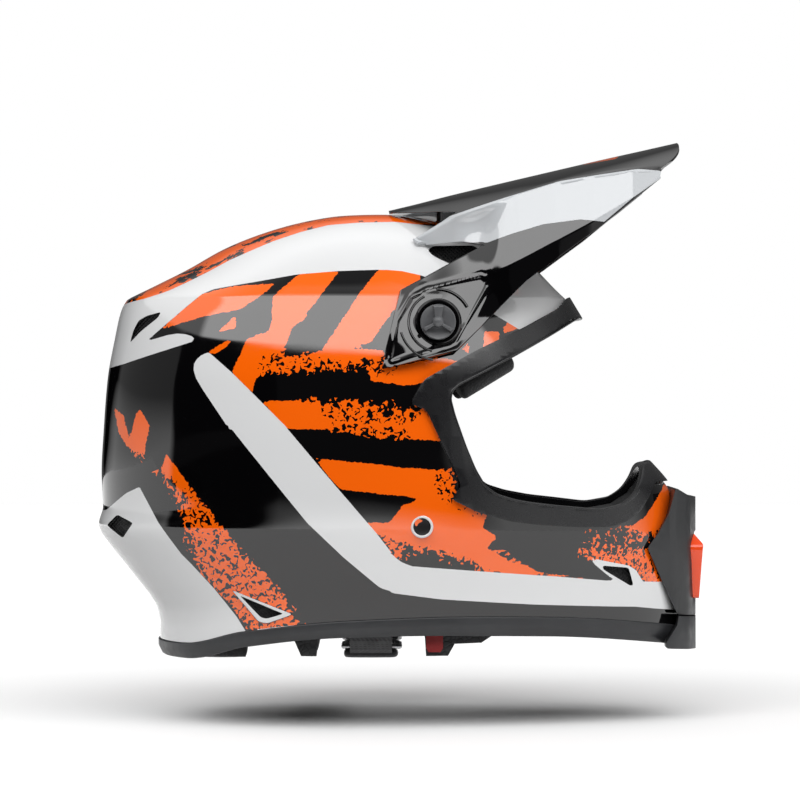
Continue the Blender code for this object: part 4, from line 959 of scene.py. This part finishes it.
def helmet_shell():
    shell = bowl("shell", offset(0), offset(-SHELL_WALL))
    tools = [prism(rounded(grown(EYEPORT_INNER, 3.7), 4), -OUTSIDE, OUTSIDE), prism(
        rounded(MOUTH_OPENING, 4), 130, 200, "X"
    )]
    for outline, inner in SIDE_VENTS.values():
        wide = grown(outline, 3) if outline is REAR_SIDE_VENT else outline
        for side in (-1, 1):
            tools.append(prism(rounded(wide, 1.6), *sorted(
                (side * (INSIDE if wide is not outline else inner), side * OUTSIDE)
            )))
    for side in (-1, 1):
        tools.append(side_rod(KNOB, side, 3.3))
        tools.append(side_rod(RIVET, side, 2.8))
    tools.append(
        turned("tool", (TOP_SCREW_X, 0, 250), (0, 0, 1), [(0, 0), (2.8, 0), (2.8, 40), (0, 40)], None)
    )
    combine(shell, joined(tools))
    shell.name = "helmet_shell"
    dress(shell, shell_paint(), 40)
    x, _, z = drawn(shell).T
    orange = paint_shapes(x, z, ORANGE_SHAPES)
    for line in SCRIBBLES:
        orange = np.maximum(orange, SCRIBBLE_HALF - away_from(x, z, line))
    rough = np.full(len(x), 0.22)
    for zone in SPECKLE_ZONES:
        share = smoothstep(signed(x, z, zone), -SPECKLE_FADE, SPECKLE_FADE)
        orange = orange * (1 - share) + share * np.clip(orange, -2.6, 1.6)
        rough = np.maximum(rough, 0.22 + 3.2 * share)
    strip = signed(x, z, CROWN_STRIP)
    attribute(shell, "orange", orange)
    attribute(shell, "rough", rough)
    attribute(shell, "strip", strip)
    attribute(shell, "white", paint_shapes(x, z, WHITE_SHAPES))
    return place(shell, "helmet", "paint", "outer_shell")


# ---------------------------------------------------------------- vents
def net(name, outline, reach, pitch=1.7, thickness=0.5):
    """A wire net inside an outline, laid at the distance that reach gives for each place."""
    low, high = np.min(outline, 0) - 2, np.max(outline, 0) + 2
    span = max(high - low)
    count = int(span * 1.5 / pitch) + 2
    middle = (low + high) / 2
    u, v = np.meshgrid(np.arange(-count, count + 1) * pitch, np.arange(-count, count + 1) * pitch)
    a, b = middle[0] + (u + v) * 0.707, middle[1] + (v - u) * 0.707
    keep = signed(a, b, outline) > -1.2
    a0, b0 = np.where(keep, a, middle[0]), np.where(keep, b, middle[1])
    points = reach(a0, b0)
    index, used, faces = {}, [], []
    size = u.shape[0]
    for i in range(size - 1):
        for k in range(size - 1):
            corners = ((i, k), (i + 1, k), (i + 1, k + 1), (i, k + 1))
            if all(keep[c] for c in corners):
                for c in corners:
                    if c not in index:
                        index[c] = len(used)
                        used.append(points[c])
                faces.append(tuple(index[c] for c in corners))
    obj = add_mesh(name, used, faces, WIRE)
    modifier = obj.modifiers.new("wires", "WIREFRAME")
    modifier.thickness, modifier.use_even_offset = thickness * MM, False
    settle(obj)
    return dress(obj, WIRE, 60)


def vent_nets():
    for name, (outline, _) in SIDE_VENTS.items():
        for side, word in SIDES:
            def reach(x, z, side=side):
                return np.stack([x, side * (half_width_at(x, z) - 1.9), z], -1)
            place(net(
                f"{name.replace('_mesh', '')}_net_{word}", outline, reach
            ), "helmet", "mesh", f"{name}_{word}")
    mouth = net(
        "mouth_vent_net", MOUTH_OPENING, lambda y, z: np.stack([front_x(y, z) - 1.6, y, z], -1), 2.2, 0.6
    )
    place(mouth, "helmet", "mesh", "mouth_vent_mesh")


def rear_rims():
    for side, word in SIDES:
        rim = wall(0.9, -3.0, columns=slice(None, None, 2))
        combine(rim, prism(
            rounded(grown(REAR_SIDE_VENT, 2.7), 2), *sorted((side * INSIDE, side * OUTSIDE))
        ), "INTERSECT")
        combine(rim, prism(rounded(REAR_SIDE_VENT, 1.5), -OUTSIDE, OUTSIDE))
        soften(rim, 0.5)
        rim.name = f"rear_vent_rim_{word}"
        dress(rim, GLOSS_WHITE)
        place(rim, "helmet", "white_plastic", f"rear_side_vent_rim_{word}")


# ---------------------------------------------------------------- rubber edges
def eyeport_line(distance):
    """The eyeport's inner edge on the shell: from the brow down one side to the chin, and up the other."""
    line = []
    for z, ahead, flip in ((206.0, 108.0, 1), (117.5, 153.0, -1)):
        ring = shell_level(z, 720)
        arc = [(x, abs(y), z) for x, y in ring[: 360] if x > ahead]
        line.append(arc[::flip])
    side = np.array([p for p in EYEPORT_INNER if 30 < p[0] < 152 and p[1] < 205])
    steps = np.concatenate(
        [np.linspace(a, b, 8, endpoint=False) for a, b in zip(side, side[1:])] + [side[-1:]]
    )
    middle = [(x, float(half_width_at(x, z)), z) for x, z in steps]
    path = np.array(line[0] + middle + line[1])
    out = path * [1, 1, 0] - [20, 0, 0]
    out /= np.linalg.norm(out, axis=1, keepdims=True)
    path = path + distance * out
    for _ in range(3):
        path[1:-1] = (path[:-2] + 2 * path[1:-1] + path[2:]) / 4
    left = path[::-1] * [1, -1, 1]
    return np.concatenate([path, left[1:-1]])


def eyeport_trim():
    rows = slice(int(np.searchsorted(LEVELS, 62)), None)
    columns = slice(None, None, 2)
    trim = wall(2.6, GAP, rows, columns)
    combine(trim, prism(rounded(EYEPORT_OUTER, 3), -OUTSIDE, OUTSIDE), "INTERSECT")
    lip = wall(2.0, -6, rows, columns)
    combine(lip, prism(rounded(grown(EYEPORT_INNER, 3.4), 4), -OUTSIDE, OUTSIDE), "INTERSECT")
    combine(trim, lip, "UNION")
    combine(trim, prism(rounded(EYEPORT_INNER, 4), -OUTSIDE, OUTSIDE))
    soften(trim, 0.7)
    trim.name = "eyeport_surround"
    dress(trim, DARK_TRIM)
    place(trim, "helmet", "rubber", "eyeport_trim")
    bead = tube("eyeport_bead", eyeport_line(2.0), 0.9, DARK_TRIM, 12, closed=True)
    place(bead, "helmet", "rubber")


def edge_ring():
    edge, out = ROWS[0], NORMALS[0] * [1, 1, 0]
    out = out / np.linalg.norm(out, axis=1, keepdims=True)
    deep = 9.6 + 2.2 * np.clip((edge[:, 0] + 60) / 110, 0, 1)
    section = [(0.5, -GAP, 0), (1.0, -0.9, 0), (1.0, -4.2, 0), (0.6, 0, 0.56), (-1.2, 0, 0.93),
               (-2.2, 0, 1),
               (-4.6, 0, 1), (-5, 0, 0.95), (-5, -GAP, 0)]
    rings = np.array([edge + a * out + np.outer(b - c * deep, [0, 0, 1]) for a, b, c in section])
    count = len(section) * COLUMNS
    faces = [tuple(v % count for v in f) for f in ring_faces(len(section) + 1, COLUMNS)]
    return add_mesh("ring", rings.reshape(-1, 3), faces)


def nose_prism():
    plan = SURROUND_PLAN + [(x, -y) for x, y in SURROUND_PLAN[-2::-1]]
    return prism(rounded(plan, 3), -20, 150, "Z")


def dome_of(distance, skirt=0):
    """The space inside the lower shell, moved out by distance."""
    rings, _ = offset(distance, slice(None, 100, 2), slice(None, None, 2))
    if skirt:
        low = rings[:1] - [0, 0, skirt]
        rings = np.concatenate([low, rings])
    return solid_dome(rings, np.array([0, 0, 205.0]))


def base_trims():
    for word, distance, operation in (("rear", 0.25, "DIFFERENCE"), ("front", -0.25, "INTERSECT")):
        ring = edge_ring()
        if word == "front":
            block = prism(rounded(FRONT_BLOCK, 1.2), -80, 80)
            combine(block, nose_prism(), "INTERSECT")
            combine(block, dome_of(-3, 40))
            combine(ring, block, "UNION")
            combine(ring, dome_of(GAP))
        combine(ring, prism(grown(FRONT_SEAM, distance), -OUTSIDE, OUTSIDE), operation)
        if word == "front":
            soften(ring, 0.5, 2, 50)
        ring.name = f"base_edge_{word}"
        dress(ring, TRIM)
        place(ring, "helmet", "rubber", f"base_trim_{word}")


# ---------------------------------------------------------------- chin vent
def chin_vent():
    body = prism(rounded(SURROUND, 1.5), -80, 80)
    combine(body, nose_prism(), "INTERSECT")
    work = bmesh.new()
    work.from_mesh(body.data)
    crease = (Vector((151 - MIDDLE_X, 0, 66.5)) * MM, Vector((6.5, 0, 21)).normalized())
    bmesh.ops.bisect_plane(work, geom=work.verts[:] + work.edges[:] + work.faces[:], plane_co=crease[0],
                           plane_no=crease[1], dist=1e-6)
    for vertex in work.verts:
        away = abs((vertex.co - crease[0]).dot(crease[1])) / MM
        vertex.co.y *= 1 - 0.0030 * away
    work.to_mesh(body.data)
    work.free()
    combine(body, dome_of(GAP))
    combine(body, prism(rounded(grown(BEAK_FRONT, 0.4), 2), 100, 220, "X"))
    soften(body, 0.6, 2, 25)
    body.name = "chin_vent_frame"
    dress(body, PLASTIC, 25)
    place(body, "helmet", "grey_plastic", "chin_vent_surround")
    beak = prism(rounded(BEAK_SIDE, 1.5), -60, 60)
    combine(beak, prism(rounded(BEAK_FRONT, 2), 100, 220, "X"), "INTERSECT")
    combine(beak, dome_of(3.4))
    for half, low, high in BEAK_SLOTS:
        for side in (-1, 1):
            slot = rounded(
                [(side * 3, low), (side * -half, low), (side * -half, high), (side * 3, high)], 2.5
            )
            combine(beak, prism(slot, 150, 220, "X"))
    soften(beak, 0.7, 2, 30)
    beak.name = "mouth_vent_beak"
    dress(beak, BEAK_PLASTIC, 30)
    place(beak, "helmet", "beak", "mouthpiece")


# ---------------------------------------------------------------- peak
RECESS = [
    (-4.3, 179.7), (-0.3, 201.8), (7.5, 215.8), (16.8, 221.3), (49.4, 229.4), (54.1, 227.1), (52.6, 222),
    (33.9, 189.4), (30.8, 187.8), (-3.4, 177.8),
]
PEAK_WHITE = [
    (40, 244), (2, 244), (2, 254), (26, 263.8), (34.4, 266.4), (47.5, 270.6), (58.6, 274.1), (96, 285.4),
    (143.4, 293.4), (157, 292.8), (160, 290), (140, 276), (122.2, 261), (108.1, 262.3), (86.1, 259.4),
    (68, 254), (52.8, 248.7), (50, 249.4), (42, 249),
]
PEAK_ORANGE = [(112, 298.8), (118, 301.4), (136, 305.6), (133, 302.2)]
PEAK_WALL = 1.9
# The wings lie along the shell behind WING_X, and the hood stands free of it ahead of HOOD_X
WING_X, HOOD_X = 24.0, 52.0
CREASE = [(50, 226.5), (54.4, 228.2), (112.6, 259.5), (140, 276), (156, 289)]


def over_shell(x, z, free):
    """A side of the peak that follows the shell at the wings and goes over to free ahead of them."""
    held = half_width_at(np.minimum(x, WING_X), z) + PEAK_STANDOFF * 1.08
    share = smoothstep(x, WING_X, HOOD_X)
    return np.maximum((1 - share) * held + share * free, half_width_at(x, z) + PEAK_STANDOFF * 1.1)


def peak_reach(x, z):
    """How far out the inside of the peak's side is."""
    ridge = np.array(PEAK_STATIONS)[:, 2:5].T
    top = np.interp(x, ridge[0], ridge[2])
    drop = top - z
    bend = np.maximum(top - np.interp(x, *zip(*CREASE)), 1)
    lean = 0.34 * np.minimum(drop, bend) + 0.03 * np.maximum(drop - bend, 0)
    return over_shell(x, z, np.interp(x, ridge[0], ridge[1]) + lean)


def powers(x, z):
    """The terms of a polynomial of degree 4 in the side view."""
    a, b = (np.asarray(v, float)[..., None] for v in (x / 50, (z - 220) / 50))
    i, k = np.array([(i, k) for i in range(5) for k in range(5 - i)]).T
    return a ** i * b ** k


def smooth_side(x, z):
    """The side of the peak without the small waves of the shell below it."""
    fitted = powers(x, z) @ SIDE_FIT
    share = smoothstep(x, HOOD_X, 70.0)
    return np.maximum((1 - share) * fitted + share * peak_reach(x, z), half_width_at(x, z) + 1.9)


def fit_side():
    """Factors of the smooth surface that comes nearest to peak_reach over the wings."""
    s, t = np.meshgrid(np.linspace(0, len(WING) - 1, 61), np.linspace(0, 1, 31))
    ux, uz, bx, bz = (np.interp(s, range(len(WING)), values) for values in zip(*WING))
    x, z = (ux + (bx - ux) * t).ravel(), (uz + (bz - uz) * t).ravel()
    more_x, more_z = (v.ravel() for v in np.meshgrid(np.linspace(53, 68, 12), np.linspace(0, 1, 20)))
    more_z = np.interp(more_x, (52, 76), (202, 226)) * (1 - more_z) + 262 * more_z
    x, z = np.concatenate([x, more_x]), np.concatenate([z, more_z])
    return np.linalg.lstsq(powers(x, z), peak_reach(x, z), rcond=None)[0]


SIDE_FIT = fit_side()


def grid(points):
    rows, columns = points.shape[:2]
    return [(i * columns + k, i * columns + k + 1, (i + 1) * columns + k + 1, (i + 1) * columns + k)
            for i in range(rows - 1) for k in range(columns - 1)]


def peak_grids():
    """The inside of the peak, as grids of points that meet along their edges."""
    fine, across, half = 12, 56, 30
    at = np.linspace(0, len(PEAK_STATIONS) - 1, (len(PEAK_STATIONS) - 1) * fine + 1)
    columns = list(zip(*PEAK_STATIONS))
    cx, cz, rx, ry, rz = (spline(list(enumerate(c)), at) for c in columns[:5])
    lx, lz = (np.interp(at, range(len(PEAK_STATIONS)), c) for c in columns[5:])
    ry = np.maximum(ry, half_width_at(rx, rz) + PEAK_STANDOFF + 1)
    start = WING_START * fine
    v = np.linspace(-1, 1, across + 1)[None]
    tip = (np.linspace(0, 1, len(at)) ** 3)[:, None]
    bend, fall = np.abs(v) ** (1.8 + 1.7 * tip), np.abs(v) ** (2.2 - 0.5 * tip)
    top = np.stack([
        cx[:, None] + (rx - cx)[:, None] * bend, ry[:, None] * v, cz[:, None] + (rz - cz)[:, None] * fall
    ], -1)
    sides = []
    last = start - fine
    foot = [np.concatenate(
        [low[:last], np.linspace(low[last], top[start] + (low - top)[start] * WING_ROW, fine + 1)]
    )
            for low, top in ((lx, rx), (lz, rz))]
    for sign in (-1, 1):
        rear = np.arange(start + 1)[:, None] / start
        share = np.linspace(0, 1, half + 1)[None]
        x, z = (
            top[: start + 1, None] + (low - top[: start + 1])[:, None] * share
            for low, top in zip(foot, (rx, rz))
        )
        lean = 0.1 + 0.24 * rear
        y = np.maximum(ry[: start + 1, None] + lean * (rz[: start + 1, None] - z),
                       half_width_at(x, z) + PEAK_STANDOFF + 0.6)
        share = smoothstep(rear, 0.45, 1.0)
        y = (1 - share) * y + share * smooth_side(x, z)
        y[:, 0] = ry[: start + 1]
        sides.append(np.stack([x, sign * y, z], -1))
        share = np.concatenate(
            [np.linspace(0, WING_ROW, half + 1), np.linspace(WING_ROW, 1, 2 * half + 1)[1:]]
        )[None]
        x = rx[start:, None] + (lx - rx)[start:, None] * share
        z = rz[start:, None] + (lz - rz)[start:, None] * share
        y = smooth_side(x, z)
        y[:, 0] = ry[start:]
        sides.append(np.stack([x, sign * y, z], -1))
        lower = sides[-1][0, half:]
        c = np.linspace(0, len(WING) - 1, 85)
        ux, uz, bx, bz = (np.interp(c, range(len(WING)), values)[:, None] for values in zip(*WING))
        share = np.linspace(0, 1, 2 * half + 1)[None]
        x, z = ux + (bx - ux) * share, uz + (bz - uz) * share
        wing = np.stack([x, sign * smooth_side(x, z), z], -1)
        wing[0] = lower
        sides.append(wing)
    return [top] + sides


def recess_depth(x, z):
    inside = signed(x, z, RECESS)
    rim = smoothstep(inside, -3.4, -1.6) * (1 - smoothstep(inside, -1.2, 0.4))
    return 1.3 * smoothstep(inside, -0.4, 2.2) - 0.45 * rim


def peak_visor():
    points, faces = [], []
    for part in peak_grids():
        faces += [tuple(v + len(points) for v in f) for f in grid(part)]
        points += list(part.reshape(-1, 3))
    visor = add_mesh("peak_visor", points, faces)
    work = bmesh.new()
    work.from_mesh(visor.data)
    bmesh.ops.remove_doubles(work, verts=work.verts, dist=3e-5)
    bmesh.ops.recalc_face_normals(work, faces=work.faces)
    top_face = max(work.faces, key=lambda f: f.calc_center_median().z)
    if top_face.normal.z < 0:
        bmesh.ops.reverse_faces(work, faces=work.faces)
    work.to_mesh(visor.data)
    work.free()
    modifier = visor.modifiers.new("wall", "SOLIDIFY")
    modifier.thickness, modifier.offset, modifier.use_even_offset = PEAK_WALL * MM, 1, False
    settle(visor)
    combine(visor, prism(REAR_NOTCH, -100, 100))
    x, y, z = drawn(visor).T
    outer = (np.abs(y) > 60) & (np.abs(y) > smooth_side(x, z) + 0.5 * PEAK_WALL)
    move = np.where(outer, recess_depth(x, z), 0) * MM
    for vertex, step in zip(visor.data.vertices, move):
        vertex.co.y -= math.copysign(step, vertex.co.y)
    for side in (-1, 1):
        combine(visor, side_rod(KNOB, side, 10))
    combine(visor, prism(TOP_POCKET_OUTSIDE, -9.2, 9.2), "UNION")
    combine(visor, prism(TOP_POCKET_INSIDE, -7.6, 7.6))
    combine(visor, box((TOP_SCREW_X - 14, -3.2, 250), (TOP_SCREW_X + 3.2, 3.2, 300)))
    soften(visor, 0.5, 2, 55)
    dress(visor, peak_paint(), 42)
    x, y, z = drawn(visor).T
    attribute(visor, "white", signed(x, z, PEAK_WHITE) - np.where(np.abs(y) < 40, 50, 0))
    attribute(visor, "orange", signed(x, z, PEAK_ORANGE))
    place(visor, "peak", "black_plastic", "peak")
    return visor


def screw_face():
    a = np.linspace(0, 2 * math.pi, 24)
    return float(
        np.max(part_side_reach(KNOB[0] + 12 * np.cos(a), KNOB[1] + 12 * np.sin(a)))
    ) + PEAK_WALL + 0.4


def part_side_reach(x, z):
    """The same for the CAD part, whose sides lean evenly."""
    ridge = np.array(PEAK_STATIONS)[:, 2:5].T
    return over_shell(
        x, z, np.interp(x, ridge[0], ridge[1]) + 0.21 * (np.interp(x, ridge[0], ridge[2]) - z)
    )


def screw_seats():
    """The ringed seats of the side screws, and the raised arcs beside them."""
    face = screw_face()
    for side, word in SIDES:
        profile = [(3.6, face - 5), (3.6, face - 1.4), (10.9, face - 1.4), (11.4, face - 0.6),
                   (11.9, face - 0.2), (12.5, face - 0.2),
                   (13.3, face - 0.9), (13.9, face - 2.4), (13.9, face - 7), (3.6, face - 7),
                   (3.6, face - 5)]
        seat = turned(f"screw_seat_{word}", (KNOB[0], 0, KNOB[1]), (0, side, 0), profile, GLOSS_BLACK, 72)
        place(seat, "peak", "black_plastic")
        for number, (radius, start, end, size) in enumerate(
            ((17.2, 118, 258, 0.8), (19.5, 28, 92, 1.0), (22.4, 196, 262, 0.7))
        ):
            a = np.radians(np.linspace(start, end, 40))
            x, z = KNOB[0] + radius * np.cos(a), KNOB[1] + radius * np.sin(a)
            y = smooth_side(x, z) + PEAK_WALL - recess_depth(x, z) + 0.3
            arc = tube(f"screw_arc_{number}_{word}", np.stack([x, side * y, z], -1), size, GLOSS_BLACK, 10)
            place(arc, "peak", "black_plastic")


def side_screws():
    face = screw_face() + GAP
    for side, word in SIDES:
        end = float(half_width_at(*KNOB)) - 14
        profile = [(0, end), (2.3, end), (2.3, face - 1.1), (9.6, face - 1.1), (10.2, face - 0.4),
                   (10.4, face + 1.0),
                   (9.9, face + 1.5), (9.3, face + 1.3), (6.5, face + 0.3), (3.6, face + 0.6),
                   (3.3, face + 3.6),
                   (2.6, face + 4.9), (1.4, face + 5.6), (0, face + 5.8)]
        knob = turned(
            f"side_screw_{word}", (KNOB[0], 0, KNOB[1]), (0, side, 0), profile, KNOB_PLASTIC, 64, 40
        )
        wings = [knob]
        for number in range(3):
            turn, half = 1.55 + number * 2 * math.pi / 3, 0.75 if number else 1.9
            fin = prism(rounded(
                [(1.5, 0.1), (9.8, 0.1), (9.8, 3.2), (9.0, 4.6), (3.0, 4.0), (1.5, 4.0)], 0.8
            ), -half, half)
            soften(fin, 0.45)
            for vertex in fin.data.vertices:
                u, w, h = (vertex.co + Vector((MIDDLE_X * MM, 0, 0))) / MM
                w *= 1 + 0.08 * (u - 2)
                x = KNOB[0] - MIDDLE_X + u * math.cos(turn) - w * math.sin(turn)
                z = KNOB[1] + u * math.sin(turn) + w * math.cos(turn)
                vertex.co = Vector((x, side * (face + h), z)) * MM
            if side < 0:
                fin.data.flip_normals()
            wings.append(fin)
        for fin in wings[1:]:
            combine(knob, fin, "UNION")
        dress(knob, KNOB_PLASTIC, 40)
        place(knob, f"screw_{word}", "grey_plastic", f"peak_side_screw_{word}")


def top_screw():
    top = 276.0
    profile = [(0, 259), (1.8, 259), (1.8, top), (6.4, top), (6.8, top + 0.4), (6.8, top + 1.2),
               (6.0, top + 1.9),
               (3.4, top + 2.3), (2.6, top + 2.3), (2.6, top + 1.0), (0, top + 1.0)]
    screw = turned("top_screw", (TOP_SCREW_X, 0, 0), (0, 0, 1), profile, GLOSS_BLACK, 48)
    place(screw, "screw_top", "black_plastic", "peak_top_screw")


def strap_rivets():
    for side, word in SIDES:
        y = float(half_width_at(*RIVET))
        at = (RIVET[0], 0, RIVET[1])
        cup = turned(f"rivet_cup_{word}", at, (0, side, 0), [(0, y - 9.8), (2.4, y - 9.8), (2.4, y - 1),
                                                             (5.2, y + 0.3),
                     (5.2, y + 0.9), (3.6, y + 0.4), (0, y + 0.2)], WIRE, 48)
        place(cup, "helmet", "black_plastic", f"strap_rivet_{word}")
        ring = turned(f"rivet_ring_{word}", at, (0, side, 0), [(5.1, y - 0.6), (5.1, y + 1.0),
                                                               (5.5, y + 1.4), (6.1, y + 1.3),
                      (6.6, y + 0.6), (6.7, y - 0.6), (5.1, y - 0.6)], GLOSS_WHITE, 48)
        place(ring, "helmet", "white_plastic")


# ---------------------------------------------------------------- padded parts
def padded_piece(node, name, body, look, voxel=4.5, shrink=1.2, cap=5.0, pressure=4.0):
    """A pad grown from its plain solid: remeshed, shrunk a little and then blown up by air."""
    obj = bpy.data.objects.new(name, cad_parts[node].data.copy())
    bpy.context.scene.collection.objects.link(obj)
    remesh = obj.modifiers.new("even", "REMESH")
    remesh.mode, remesh.voxel_size = "VOXEL", voxel * MM
    smooth = obj.modifiers.new("soft", "SMOOTH")
    smooth.iterations, smooth.factor = 6, 0.5
    inward = obj.modifiers.new("inward", "DISPLACE")
    inward.strength, inward.mid_level = -shrink * MM, 0
    settle(obj)
    rest = np.empty(len(obj.data.vertices) * 3)
    obj.data.vertices.foreach_get("co", rest)
    cloth = obj.modifiers.new("cloth", "CLOTH")
    cloth.settings.quality, cloth.settings.mass = 4, 0.3
    cloth.settings.use_pressure, cloth.settings.uniform_pressure_force = True, pressure
    cloth.settings.effector_weights.gravity = 0
    cloth.settings.tension_stiffness = cloth.settings.compression_stiffness = 12
    cloth.collision_settings.use_collision = False
    cloth.point_cache.frame_start, cloth.point_cache.frame_end = 1, 20
    scene = bpy.context.scene
    for step in range(1, 21):
        scene.frame_set(step)
    graph = bpy.context.evaluated_depsgraph_get()
    blown = obj.evaluated_get(graph).to_mesh()
    after = np.empty(len(rest))
    blown.vertices.foreach_get("co", after)
    obj.modifiers.clear()
    scene.frame_set(1)
    move = (after - rest).reshape(-1, 3)
    far = np.linalg.norm(move, axis=1, keepdims=True)
    move *= np.minimum(1, cap * MM / np.maximum(far, 1e-9))
    obj.data.vertices.foreach_set("co", (rest.reshape(-1, 3) + move).ravel())
    finer = obj.modifiers.new("finer", "SUBSURF")
    finer.levels = finer.render_levels = 1
    settle(obj)
    dress(obj, look, 80)
    place(obj, body, "fabric", node)
    return obj


def pads():
    padded_piece("crown_pad", "crown_liner", "helmet", SOFT_KNIT, 4.5, 0.8, 1.6, 3.0)
    padded_piece("neck_roll", "neck_cushion", "helmet", KNIT, 4.0, 1.4, 2.4)
    for _, word in SIDES:
        padded_piece(f"cheek_cushion_{word}", f"cheek_pad_{word}", "helmet", SOFT_KNIT, 4.0, 1.4, 2.6)
        padded_piece(f"strap_sleeve_{word}", f"jaw_sleeve_{word}", "strap", KNIT, 2.2, 0.4, 0.8, 2.0)


def brow_pads():
    """The ends of the brow padding, just below the eyeport's upper edge."""
    for side, word in SIDES:
        x = np.linspace(36, 66, 16)
        z = 162 + (x - 35) * 0.603 - 1.6
        path = np.stack([x, side * (half_width_at(x, z) - 13.5), z], -1)
        pad = tube(f"brow_pad_{word}", path, 6.2, KNIT, 20)
        soften(pad, 2.5, 3, 50)
        dress(pad, KNIT, 80)
        place(pad, "helmet", "fabric")


def dress_cad():
    """Materials of the nodes that are shown as they are."""
    groups = (
        (FOAM, ("eps_crown_liner", "eps_chin_bar", "cheek_base_left", "cheek_base_right")),
        (STEEL, ("screw_insert_left", "screw_insert_right", "screw_insert_top", "strap_anchor_left",
                 "strap_anchor_right",
                 "d_ring_lower", "d_ring_upper", "strap_snap")),
        (TAPE, ("chin_strap_left", "chin_strap_right")),
        # The release tabs take the darkened red webbing: painted shade.
        (SHADED_RED_TAPE, ("release_tab_left", "release_tab_right")),
    )
    for look, names in groups:
        for name in names:
            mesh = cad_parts[name].data
            mesh.materials.clear()
            mesh.materials.append(look)


def main():
    camera()
    studio()
    helmet_shell()
    vent_nets()
    rear_rims()
    eyeport_trim()
    base_trims()
    chin_vent()
    peak_visor()
    screw_seats()
    side_screws()
    top_screw()
    strap_rivets()
    pads()
    brow_pads()
    dress_cad()


main()
